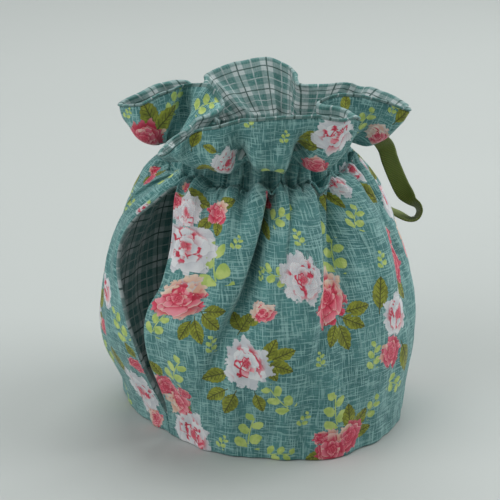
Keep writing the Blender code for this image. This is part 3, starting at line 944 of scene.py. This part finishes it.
WHITE, PEARL = (0.78, 0.79, 0.81, 1), (0.60, 0.62, 0.66, 1)
CREAM, PEACH = (0.84, 0.68, 0.56, 1), (0.74, 0.42, 0.30, 1)
PINK, CORAL = (0.86, 0.30, 0.36, 1), (0.72, 0.050, 0.115, 1)
CRIMSON = (0.48, 0.012, 0.040, 1)
DEEP_CORAL, DEEP_PINK = (0.50, 0.016, 0.062, 1), (0.76, 0.150, 0.230, 1)
LEAF_OLIVE, LEAF_LIGHT = (0.145, 0.170, 0.012, 1), (0.34, 0.38, 0.035, 1)
LEAF_VEIN = (0.040, 0.042, 0.008, 1)
LIME, LIME_PALE = (0.34, 0.50, 0.10, 1), (0.58, 0.70, 0.22, 1)
TEAL, TEAL_DEEP = (0.078, 0.250, 0.246, 1), (0.052, 0.188, 0.190, 1)
TEAL_PALE, WORN = (0.31, 0.54, 0.52, 1), (0.45, 0.48, 0.47, 1)
CHECK_WHITE, CHECK_TEAL = (0.50, 0.57, 0.57, 1), (0.030, 0.165, 0.150, 1)
CHECK_LINE = (0.012, 0.065, 0.055, 1)
# Sewing thread's colours: the darker is painted shade in the grooves between its strands, the lighter is
# painted highlight on their crowns
THREAD_GROOVE_SHADE, THREAD_CREST_HIGHLIGHT = (0.020, 0.070, 0.065, 1), (0.060, 0.150, 0.140, 1)
FLOOR_DARK, FLOOR_LIGHT = (0.450, 0.482, 0.470, 1), (0.478, 0.510, 0.497, 1)
# Metres: the check's repeat, the pitch of each weave, and the ribbon's ribs and firm edge
CHECK_REPEAT = 0.0175
FLORAL_WEAVE, CHECK_WEAVE = 0.0009, 0.0008
RIB_PITCH, RIBBON_EDGE_FROM, RIBBON_EDGE_TO = 0.00095, 0.0041, 0.0046
# The ribbon's olive, and the lighter colour painted as highlight on each rib's crown
RIBBON_OLIVE, RIBBON_CREST_HIGHLIGHT = (0.085, 0.125, 0.014, 1), (0.23, 0.30, 0.055, 1)


def draw_rose(f):
    """A rose: cells on a rolled-out cone are its petals, which shrink towards the heart; each is dark at its
    foot and pale at its lip, and the tone decides how many of them are pink."""
    x, y, seed, tone = f.own_place("rose_place")
    stretch = f.sum("MULTIPLY_ADD", f.sum("SINE", f.sum("MULTIPLY", seed, 2.7)), 0.15, 1.0)
    x, y = f.sum("MULTIPLY", x, stretch), f.sum("DIVIDE", y, stretch)
    radius = f.node("VectorMath", f.point(x, y), operation="LENGTH").outputs["Value"]
    safe = f.sum("MAXIMUM", radius, 0.02)
    side_x, side_y = f.sum("DIVIDE", x, safe), f.sum("DIVIDE", y, safe)
    wave = f.sum("SUBTRACT", f.cloud(f.point(x, y, seed), 2.2), 0.5)
    lobes = f.sum("SUBTRACT", f.cloud(f.point(side_x, side_y, seed), 1.9, 1.5), 0.5)
    teeth = f.sum("SUBTRACT", f.cloud(f.point(x, y, f.sum("ADD", seed, 20.0)), 5.5, 2.0), 0.5)
    outline = f.sum("MULTIPLY_ADD", teeth, 0.50, f.sum("MULTIPLY_ADD", lobes, 0.95, 0.93))
    mask = f.fall(f.sum("SUBTRACT", radius, outline), -0.025, 0.025)
    ring = f.sum("LOGARITHM", f.sum("ADD", radius, 0.06), math.e)
    rolled = f.sum("MULTIPLY_ADD", wave, 1.1, f.sum("MULTIPLY_ADD", seed, 5.3, f.sum("MULTIPLY", ring, 1.9)))
    cone = f.point(f.sum("MULTIPLY", side_x, 1.15), f.sum("MULTIPLY", side_y, 1.15), rolled)
    petals = f.cells(cone, "F1")
    lips = f.cells(cone, "DISTANCE_TO_EDGE")[0]
    petal_x, petal_y, petal_ring = f.parts(petals["Position"])
    outer = f.sum("SUBTRACT", rolled, petal_ring)
    chance = f.parts(petals["Color"])[0]
    shade = f.sum("MULTIPLY_ADD", outer, 1.25, f.sum("MULTIPLY_ADD", chance, 0.5, 0.28))
    shade = f.node("Clamp", shade).outputs[0]
    upper = f.rise(f.sum("MULTIPLY_ADD", wave, 1.2, y), -0.25, 0.45)
    pale = f.blend(f.rise(tone, 0.15, 0.5), f.blend(shade, PEARL, WHITE), f.blend(shade, PEACH, CREAM))
    pinkness = f.sum("MULTIPLY_ADD", upper, -0.55, f.sum("MULTIPLY_ADD", radius, -0.45, tone))
    pinkness = f.rise(f.sum("MULTIPLY_ADD", chance, 0.45, pinkness), 0.02, 0.36)
    deep = f.rise(tone, 0.80, 0.98)
    pink = f.blend(shade, f.blend(deep, CORAL, DEEP_CORAL), f.blend(deep, PINK, DEEP_PINK))
    colour = f.blend(pinkness, pale, pink)
    lip = f.sum("MULTIPLY", f.fall(lips, 0.02, 0.09), f.rise(outer, -0.05, 0.25))
    colour = f.blend(f.sum("MULTIPLY", lip, f.sum("MULTIPLY", pinkness, 0.65)), colour, CREAM)
    fold = f.sum("MULTIPLY", f.fall(lips, 0.015, 0.075), f.fall(outer, -0.05, 0.2))
    colour = f.blend(f.sum("MULTIPLY", fold, 0.80), colour, f.blend(pinkness, PEARL, CRIMSON))
    strokes = f.rise(f.cloud(f.point(x, y, f.sum("ADD", seed, 40.0)), 2.6, 2.0), 0.505, 0.555)
    strokes = f.sum("MULTIPLY", strokes, f.fall(lips, 0.05, 0.17))
    strokes = f.sum("MULTIPLY", strokes, f.fall(radius, 0.52, 0.84))
    colour = f.blend(strokes, colour, f.blend(shade, CRIMSON, CORAL))
    heart = f.fall(f.sum("MULTIPLY_ADD", wave, 0.5, radius), 0.08, 0.26)
    colour = f.blend(f.sum("MULTIPLY", heart, 0.85), colour, f.blend(shade, CRIMSON, CORAL))
    return mask, colour


def draw_leaf(f):
    """A leaf: its half width is a parabola along its midrib, with a toothed edge and slanting side veins."""
    x, y, seed, tone = f.own_place("leaf_place")
    off = f.sum("ABSOLUTE", y)
    along = f.sum("SUBTRACT", 1.0, f.sum("MULTIPLY", x, x))
    width = f.sum("MULTIPLY", along, f.sum("MULTIPLY_ADD", x, -0.14, 0.56))
    teeth = f.sum("SINE", f.sum("MULTIPLY_ADD", off, 14.0, f.sum("MULTIPLY", x, 24.0)))
    width = f.sum("MULTIPLY_ADD", teeth, 0.028, width)
    blade = f.fall(f.sum("SUBTRACT", off, width), -0.02, 0.03)
    blade = f.sum("MULTIPLY", blade, f.rise(along, 0.0, 0.04))
    stalk = f.sum("MULTIPLY", f.fall(off, 0.02, 0.05), f.sum("LESS_THAN", f.sum("ABSOLUTE", x), 1.3))
    mask = f.sum("MAXIMUM", blade, f.sum("MULTIPLY", stalk, f.sum("LESS_THAN", x, 0.0)))
    light = f.rise(f.cloud(f.point(x, y, seed), 2.6), 0.42, 0.62)
    light = f.sum("MULTIPLY_ADD", tone, 0.45, f.sum("MULTIPLY", light, 0.6))
    colour = f.blend(light, LEAF_OLIVE, LEAF_LIGHT)
    side = f.sum("FRACT", f.sum("SUBTRACT", f.sum("MULTIPLY", x, 3.4), f.sum("MULTIPLY", off, 3.0)))
    veins = f.fall(f.sum("ABSOLUTE", f.sum("SUBTRACT", side, 0.5)), 0.05, 0.16)
    veins = f.sum("MULTIPLY", veins, f.fall(off, 0.2, 0.42))
    veins = f.sum("MAXIMUM", veins, f.fall(off, 0.02, 0.07))
    colour = f.blend(f.sum("MULTIPLY", veins, 0.8), colour, LEAF_VEIN)
    return mask, colour


def draw_sprig(f):
    """A sprig: oval leaflets in pairs, slanting forward from a thin stalk and smaller towards its tip."""
    x, y, seed, tone = f.own_place("sprig_place")
    bent = f.sum("MULTIPLY_ADD", f.sum("MULTIPLY", x, x), 0.14, y)
    off = f.sum("ABSOLUTE", bent)
    left = f.sum("GREATER_THAN", bent, 0.0)
    run = f.sum("MULTIPLY_ADD", left, 0.45, f.sum("MULTIPLY", x, 1.25))
    size = f.sum("MULTIPLY_ADD", x, -0.20, 0.95)
    near = f.sum("DIVIDE", f.sum("SUBTRACT", f.sum("FRACT", f.sum("ADD", run, 10.0)), 0.5), 1.25)
    far = f.sum("MULTIPLY_ADD", size, -0.33, off)
    long = f.sum("ADD", f.sum("MULTIPLY", near, 0.72), f.sum("MULTIPLY", far, 0.70))
    long = f.sum("MULTIPLY", long, 2.8)
    wide = f.sum("SUBTRACT", f.sum("MULTIPLY", near, 0.70), f.sum("MULTIPLY", far, 0.72))
    wide = f.sum("MULTIPLY", wide, 4.3)
    oval = f.node("VectorMath", f.point(long, wide), operation="LENGTH").outputs["Value"]
    rough = f.sum("SUBTRACT", f.cloud(f.point(x, y, seed), 4.0), 0.5)
    mask = f.fall(f.sum("DIVIDE", f.sum("MULTIPLY_ADD", rough, 0.55, oval), size), 0.94, 1.04)
    mask = f.sum("MULTIPLY", mask, f.sum("LESS_THAN", f.sum("ABSOLUTE", x), 0.98))
    stalk = f.sum("MULTIPLY", f.fall(off, 0.018, 0.05), f.sum("LESS_THAN", f.sum("ABSOLUTE", x), 0.8))
    mask = f.sum("MAXIMUM", mask, stalk)
    pale = f.rise(f.cloud(f.point(x, y, f.sum("ADD", seed, 9.0)), 2.5), 0.35, 0.65)
    pale = f.sum("MULTIPLY_ADD", tone, 0.5, pale)
    return mask, f.blend(f.sum("MULTIPLY", pale, 0.75), LIME, LIME_PALE)


def threads(f, u, v, across, along):
    """Thread lines: noise drawn out along the cloth, so that only thin broken strokes stand out."""
    return f.cloud(f.point(f.sum("MULTIPLY", u, across), f.sum("MULTIPLY", v, along)), 1.0, 1.0)


def weave(f, u, v, pitch):
    """Height of a plain weave: one thread over the other, as the product of two sine waves, at a pitch."""
    turn = 2 * math.pi / pitch
    return f.sum(
        "MULTIPLY", f.sum("SINE", f.sum("MULTIPLY", u, turn)), f.sum("SINE", f.sum("MULTIPLY", v, turn))
    )


def floral_cotton():
    """Printed cotton: a crosshatched teal ground with sprigs, leaves and roses printed over it in turn.
    Along the frill's rim the lining is turned over to this side as a narrow binding."""
    f = Finish("floral_cotton")
    u, v, _ = f.parts(f.node("UVMap", uv_map="cloth").outputs[0])
    wide = f.cloud(f.point(f.sum("MULTIPLY", u, 60.0), f.sum("MULTIPLY", v, 60.0)), 1.0)
    ground = f.blend(f.rise(wide, 0.35, 0.65), TEAL_DEEP, TEAL)
    for across, along, low, high in (
        (1500.0, 120.0, 0.555, 0.625),
        (120.0, 1500.0, 0.555, 0.625),
        (900.0, 60.0, 0.59, 0.66),
        (60.0, 900.0, 0.59, 0.66),
    ):
        lines = f.rise(threads(f, u, v, across, along), low, high)
        ground = f.blend(f.sum("MULTIPLY", lines, 0.72), ground, TEAL_PALE)
    for across, along in ((900.0, 110.0), (110.0, 900.0)):
        lines = f.fall(threads(f, f.sum("ADD", u, 3.1), v, across, along), 0.33, 0.43)
        ground = f.blend(f.sum("MULTIPLY", lines, 0.45), ground, TEAL_DEEP)
    colour = ground
    for draw in (draw_sprig, draw_leaf, draw_rose):
        mask, motif = draw(f)
        colour = f.blend(mask, colour, motif)
    bound = f.rise(v, FLAT_LENGTH - BINDING_WIDTH, FLAT_LENGTH - BINDING_WIDTH + 0.0002)
    colour = f.blend(bound, colour, check_colours(f, u, v)[0])
    fade = f.cloud(f.point(f.sum("MULTIPLY", u, 25.0), f.sum("MULTIPLY", v, 25.0), 4.0), 1.0)
    colour = f.blend(f.sum("MULTIPLY", fade, 0.05), colour, WORN)
    cross = weave(f, u, v, FLORAL_WEAVE)
    slub = f.sum("ADD", threads(f, u, v, 1400.0, 160.0), threads(f, u, v, 160.0, 1400.0))
    f.relief(f.sum("MULTIPLY_ADD", cross, 0.22, slub), 0.00022)
    f.set(Base_Color=colour, Roughness=f.sum("MULTIPLY_ADD", fade, 0.12, 0.80))
    f.set(Sheen_Weight=0.18, Sheen_Roughness=0.5, Specular_IOR_Level=0.30)
    return f.material


def check_colours(f, u, v):
    """The check: teal and white bands both ways, deep or pale where two cross, with a fine dark line in the
    middle of each white band and a fine white one in the middle of each teal band."""
    sway = f.sum("MULTIPLY", f.sum("SUBTRACT", f.cloud(f.point(u, v), 30.0), 0.5), 0.0012)
    u, v = f.sum("ADD", u, sway), f.sum("ADD", v, sway)
    bands, dark, light = [], [], []
    for run, over in ((u, v), (v, u)):
        step = f.sum("ABSOLUTE", f.sum("SUBTRACT", f.sum("FRACT", f.sum("DIVIDE", run, CHECK_REPEAT)), 0.5))
        ragged = f.cloud(f.point(f.sum("MULTIPLY", run, 900.0), f.sum("MULTIPLY", over, 240.0)), 1.0)
        bands.append(f.rise(step, 0.205, 0.235))
        dark.append(f.sum("MULTIPLY", f.fall(step, 0.020, 0.036), f.rise(ragged, 0.2, 0.45)))
        light.append(f.sum("MULTIPLY", f.rise(step, 0.470, 0.484), f.rise(ragged, 0.3, 0.5)))
    both = f.sum("POWER", f.sum("MULTIPLY", f.sum("ADD", bands[0], bands[1]), 0.5), 0.62)
    dye = f.sum("ADD", threads(f, u, v, 1500.0, 260.0), threads(f, u, v, 260.0, 1500.0))
    share = f.sum("ADD", f.sum("MULTIPLY", both, 0.82), f.sum("MULTIPLY_ADD", dye, 0.45, -0.40))
    colour = f.blend(f.node("Clamp", share).outputs[0], CHECK_WHITE, CHECK_TEAL)
    colour = f.blend(f.sum("MULTIPLY", f.sum("MAXIMUM", light[0], light[1]), 0.7), colour, CHECK_WHITE)
    return f.blend(f.sum("MULTIPLY", f.sum("MAXIMUM", dark[0], dark[1]), 0.85), colour, CHECK_LINE), dye


def checked_cotton():
    """Checked cotton, with the weave's relief."""
    f = Finish("checked_cotton")
    u, v, _ = f.parts(f.node("UVMap", uv_map="cloth").outputs[0])
    colour, dye = check_colours(f, u, v)
    cross = weave(f, u, v, CHECK_WEAVE)
    f.relief(f.sum("MULTIPLY_ADD", cross, 0.25, f.sum("MULTIPLY", dye, 0.5)), 0.00020)
    f.set(Base_Color=colour, Roughness=f.sum("MULTIPLY_ADD", dye, 0.06, 0.80))
    f.set(Sheen_Weight=0.15, Sheen_Roughness=0.5, Specular_IOR_Level=0.30)
    return f.material


def grosgrain():
    """Grosgrain: fine ribs across the ribbon, round like half cylinders, with a firm edge on both sides. Each
    rib's crown is painted lighter as a painted highlight, and the gap between ribs darker as painted shade.
    """
    f = Finish("olive_grosgrain")
    u, v, _ = f.parts(f.node("UVMap", uv_map="cloth").outputs[0])
    ribs = f.sum("ABSOLUTE", f.sum("SINE", f.sum("MULTIPLY", v, math.pi / RIB_PITCH)))
    edge = f.rise(f.sum("ABSOLUTE", u), RIBBON_EDGE_FROM, RIBBON_EDGE_TO)
    mottle = f.cloud(f.point(f.sum("MULTIPLY", u, 300.0), f.sum("MULTIPLY", v, 90.0)), 1.0)
    # Painted highlight on each rib's crown and painted shade between ribs, with a random mottle over both
    light = f.sum("MULTIPLY_ADD", ribs, 0.85, f.sum("MULTIPLY_ADD", mottle, 0.5, -0.40))
    colour = f.blend(f.node("Clamp", light).outputs[0], RIBBON_OLIVE, RIBBON_CREST_HIGHLIGHT)
    colour = f.blend(f.sum("MULTIPLY", edge, 0.5), colour, RIBBON_OLIVE)
    f.relief(f.sum("MULTIPLY", ribs, f.fall(edge, 0.0, 1.0)), 0.00025)
    f.set(Base_Color=colour, Roughness=f.sum("MULTIPLY_ADD", mottle, 0.15, 0.42))
    f.set(Sheen_Weight=0.25, Sheen_Roughness=0.35, Specular_IOR_Level=0.45)
    return f.material


def thread_finish():
    """Sewing thread: two twisted strands, as slanting stripes along each stitch, painted lighter on each
    strand's crown as a painted highlight and darker in the groove between as painted shade.
    """
    f = Finish("teal_thread")
    u, v, _ = f.parts(f.node("UVMap", uv_map="cloth").outputs[0])
    twist = f.sum("SINE", f.sum("MULTIPLY_ADD", v, 14.0, f.sum("MULTIPLY", u, 22000.0)))
    # Stripes follow the twist's relief: painted highlight on the strands' crowns, painted shade in the
    # grooves
    colour = f.blend(f.sum("MULTIPLY_ADD", twist, 0.4, 0.5), THREAD_GROOVE_SHADE, THREAD_CREST_HIGHLIGHT)
    f.relief(twist, 0.00005)
    f.set(Base_Color=colour, Roughness=f.sum("MULTIPLY_ADD", twist, 0.05, 0.55), Sheen_Weight=0.2)
    return f.material


def floor_finish():
    """A plain pale table top with a faint unevenness."""
    f = Finish("pale_table")
    place = f.node("TexCoord").outputs["Object"]
    cloud = f.cloud(place, 3.0)
    f.set(Base_Color=f.blend(cloud, FLOOR_DARK, FLOOR_LIGHT), Roughness=0.8)
    f.set(Specular_IOR_Level=0.15)
    return f.material


def length_along(points):
    """Distance along a line of points, from its start to each."""
    steps = np.linalg.norm(np.diff(points, axis=0), axis=-1)
    return np.concatenate([[0.0], np.cumsum(steps)])


def motif_rows(panel, kind):
    """Rows of the print on a panel: those listed, and the repeat of some of the front's."""
    rows = list(PRINT[panel][kind])
    for low, high, up_to, move in REPEATS[panel]:
        for row in PRINT["front"][kind]:
            if low < row[0] < high and row[1] < up_to:
                rows.append((row[0] + move, *row[1:]))
    return rows


def place_print(mesh, quads, points, across, share, panel):
    """Gives every face the nearest motif of each kind: its corners hold their place in that motif's frame.

    The place is the distance along the cloth's row and column through the motif's middle, turned by the
    motif's turn and divided by its half size; the third value is twice the motif's number plus its tone.
    """
    columns = points.shape[1]
    lines_across, lines_up = across[0], share[:, 0]
    corner_row, corner_column = quads // columns, quads % columns
    middle_row, middle_column = corner_row.mean(axis=1), corner_column.mean(axis=1)
    for kind in ("rose", "leaf", "sprig"):
        nearest = np.full(len(quads), MOTIF_REACH[kind])
        place = np.full((len(quads), 4, 3), 9.0, np.float32)
        for number, (at_across, at_share, turn, size, tone) in enumerate(motif_rows(panel, kind)):
            row = int(np.argmin(np.abs(lines_up - at_share)))
            column = int(np.argmin(np.abs(lines_across - at_across)))
            round_cloth = length_along(points[row])
            up_cloth = length_along(points[:, column])
            x = round_cloth - np.interp(at_across, lines_across, round_cloth)
            y = up_cloth - np.interp(at_share, lines_up, up_cloth)
            cos, sin = math.cos(math.radians(turn)), math.sin(math.radians(turn))
            scale = 1000.0 / (size * PRINT_SCALE[kind])
            mid_x = np.interp(middle_column, np.arange(len(x)), x)
            mid_y = np.interp(middle_row, np.arange(len(y)), y)
            far_along = (mid_x * cos + mid_y * sin) * scale
            far_across = (mid_y * cos - mid_x * sin) * scale
            off = np.hypot(far_along, far_across * MOTIF_SLENDER[kind])
            take = off < nearest
            nearest[take] = off[take]
            px, py = x[corner_column[take]], y[corner_row[take]]
            place[take, :, 0] = (px * cos + py * sin) * scale
            place[take, :, 1] = (py * cos - px * sin) * scale
            place[take, :, 2] = 2.0 * (number + 1) + tone
        layer = mesh.attributes.new(kind + "_place", "FLOAT_VECTOR", "CORNER")
        layer.data.foreach_set("vector", place.ravel())


def make_camera():
    """The photo's camera: on a circle round the cosy, aimed a little left of its axis."""
    turn, up = math.radians(CAMERA_TURN_DEG), math.radians(CAMERA_UP_DEG)
    right = Vector((math.cos(turn), math.sin(turn), 0))
    away = Vector((math.sin(turn) * math.cos(up), -math.cos(turn) * math.cos(up), math.sin(up)))
    aim = Vector((0, 0, CAMERA_AIM_HEIGHT)) - right * CAMERA_AIM_LEFT
    data = bpy.data.cameras.new("camera")
    camera = bpy.data.objects.new("camera", data)
    bpy.context.scene.collection.objects.link(camera)
    camera.location = aim + away * CAMERA_DISTANCE
    camera.rotation_euler = (-away).to_track_quat("-Z", "Y").to_euler()
    data.sensor_width = SENSOR_MM
    data.lens = FOCAL_PIXELS * SENSOR_MM / FRAME_PIXELS
    data.clip_start = 0.05
    bpy.context.scene.camera = camera


def ribbon_frame(at):
    """Middle line of the ribbon at shares of its length, with unit vectors across its width and its face."""
    knots = np.linspace(0, 1, len(RIBBON_ROUTE))
    table = [(knot, *row) for knot, row in zip(knots, RIBBON_ROUTE)]

    def middle(share):
        angle, radius, height = (smooth_table(table, column, share) for column in (1, 2, 3))
        return polar(angle, radius, height)

    forward = middle(np.minimum(at + STEP, 1)) - middle(np.maximum(at - STEP, 0))
    forward /= np.linalg.norm(forward, axis=-1, keepdims=True)
    turn, tilt = (np.radians(smooth_table(table, column, at)) for column in (4, 5))
    width = np.stack([np.cos(tilt) * np.cos(turn), np.cos(tilt) * np.sin(turn), np.sin(tilt)], axis=-1)
    width -= forward * np.sum(width * forward, axis=-1, keepdims=True)
    width /= np.linalg.norm(width, axis=-1, keepdims=True)
    return middle(at) + SHIFT, width, np.cross(width, forward)


def make_ribbon(material):
    """The ribbon: its width carried along its middle line, with its own length and width as its UV map."""
    at = np.linspace(0, 1, RIBBON_STEPS + 1)
    middle, width, face = ribbon_frame(at)
    lengths = length_along(middle)
    side = np.linspace(-0.5, 0.5, RIBBON_ACROSS + 1)
    points = (
        middle[:, None, :]
        + width[:, None, :] * (side * RIBBON_WIDTH)[None, :, None]
        + face[:, None, :] * RIBBON_THICK / 2
    )
    flat = np.stack(np.broadcast_arrays(side[None, :] * RIBBON_WIDTH, lengths[:, None]), axis=-1)
    mesh, _ = grid_mesh("ribbon_loop", points, flat)
    piece = add_piece("ribbon_loop", mesh, material)
    thicken(piece, RIBBON_THICK)
    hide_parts("drawstring_ribbon")


def make_stitches(panel, material):
    """The two rows of stitches along the channel: short bows of thread whose ends dip into the cloth."""
    count = int(FLAT_WIDTH / STITCH_PITCH)
    along = np.linspace(-0.5, 0.5, STITCH_RINGS)
    spin = np.linspace(0, 2 * math.pi, STITCH_SIDES, endpoint=False)
    starts = (np.arange(count) + 0.5) / count
    places, faces, flat = [], [], []
    for line in (NECK_SHARE, FRILL_START):
        across = starts[:, None] + along[None, :] * STITCH_LENGTH / FLAT_WIDTH
        share = line + 0 * across
        middle = drape(panel, across, share, False)
        up = outward(panel, across, share)
        bow = STITCH_LIFT * (1 - (2.3 * along) ** 2)
        middle = middle + up * bow[None, :, None]
        forward = np.gradient(middle, axis=1)
        forward /= np.linalg.norm(forward, axis=-1, keepdims=True)
        side = np.cross(forward, up)
        side /= np.linalg.norm(side, axis=-1, keepdims=True)
        radius = STITCH_RADIUS * np.sqrt(1 - 0.8 * (2 * along) ** 2)
        ring = side[:, :, None, :] * np.cos(spin)[:, None] + up[:, :, None, :] * np.sin(spin)[:, None]
        places.append((middle[:, :, None, :] + ring * radius[None, :, None, None]).reshape(-1, 3))
    for stitch in range(2 * count):
        first = stitch * STITCH_RINGS * STITCH_SIDES
        for ring in range(STITCH_RINGS - 1):
            for k in range(STITCH_SIDES):
                a, b = first + ring * STITCH_SIDES + k, first + ring * STITCH_SIDES + (k + 1) % STITCH_SIDES
                faces.append((a, b, b + STITCH_SIDES, a + STITCH_SIDES))
                u, v = ring * STITCH_LENGTH / (STITCH_RINGS - 1), k / STITCH_SIDES
                step, turn = STITCH_LENGTH / (STITCH_RINGS - 1), 1 / STITCH_SIDES
                flat += [(u, v), (u, v + turn), (u + step, v + turn), (u + step, v)]
        faces.append(tuple(first + k for k in range(STITCH_SIDES))[::-1])
        last = first + (STITCH_RINGS - 1) * STITCH_SIDES
        faces.append(tuple(last + k for k in range(STITCH_SIDES)))
        flat += [(0.0, 0.0)] * (2 * STITCH_SIDES)
    mesh = bpy.data.meshes.new(f"channel_stitches_{panel}")
    mesh.from_pydata(np.concatenate(places).tolist(), [], faces)
    layer = mesh.uv_layers.new(name="cloth")
    layer.uv.foreach_set("vector", np.array(flat, np.float32).ravel())
    mesh.shade_smooth()
    add_piece(f"channel_stitches_{panel}", mesh, material)


def make_sheet(name, panel, lining, material, node):
    """A floral or lining sheet of a panel, thickened, and standing for its CAD solid."""
    lines = grid_lines(LINING_COLUMNS, LINING_ROW_BANDS) if lining else grid_lines(COLUMNS, ROW_BANDS)
    share, across = np.meshgrid(lines[1], lines[0], indexing="ij")
    points = drape(panel, across, share, lining)
    flat = np.stack([across * FLAT_WIDTH, share * FLAT_LENGTH], axis=-1)
    mesh, quads = grid_mesh(name, points, flat, lining)
    if not lining:
        place_print(mesh, quads, points, across, share, panel)
    piece = add_piece(name, mesh, material)
    thicken(piece, SHEET_THICK)
    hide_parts(node)


make_camera()
make_ribbon(grosgrain())
floral = floral_cotton()
check = checked_cotton()
thread = thread_finish()
for side in ("front", "back"):
    make_stitches(side, thread)
    make_sheet(f"floral_{side}", side, False, floral, f"outer_{side}")
    make_sheet(f"checked_{side}", side, True, check, f"lining_{side}")


def make_stage():
    """A wide pale floor, soft lights and a pale surround."""
    bpy.ops.mesh.primitive_plane_add(size=6)
    floor = bpy.context.object
    floor.name = "floor"
    floor.data.materials.append(floor_finish())
    for name, place, size, watts in (
        ("window_light", (-1.65, 0.20, 1.35), 1.9, 26),
        ("room_light", (1.3, -0.7, 1.35), 1.6, 25),
        ("ceiling_light", (0.55, 0.70, 1.7), 1.3, 21),
    ):
        data = bpy.data.lights.new(name, "AREA")
        data.size = size
        data.energy = watts
        lamp = bpy.data.objects.new(name, data)
        bpy.context.scene.collection.objects.link(lamp)
        lamp.location = place
        lamp.rotation_euler = (Vector((0, 0, 0.08)) - Vector(place)).to_track_quat("-Z", "Y").to_euler()
    world = bpy.data.worlds.new("surround")
    world.use_nodes = True
    world.node_tree.nodes["Background"].inputs[0].default_value = (0.80, 0.85, 0.84, 1)
    world.node_tree.nodes["Background"].inputs[1].default_value = 0.18
    bpy.context.scene.world = world
    bpy.context.scene.view_settings.view_transform = "Standard"


make_stage()
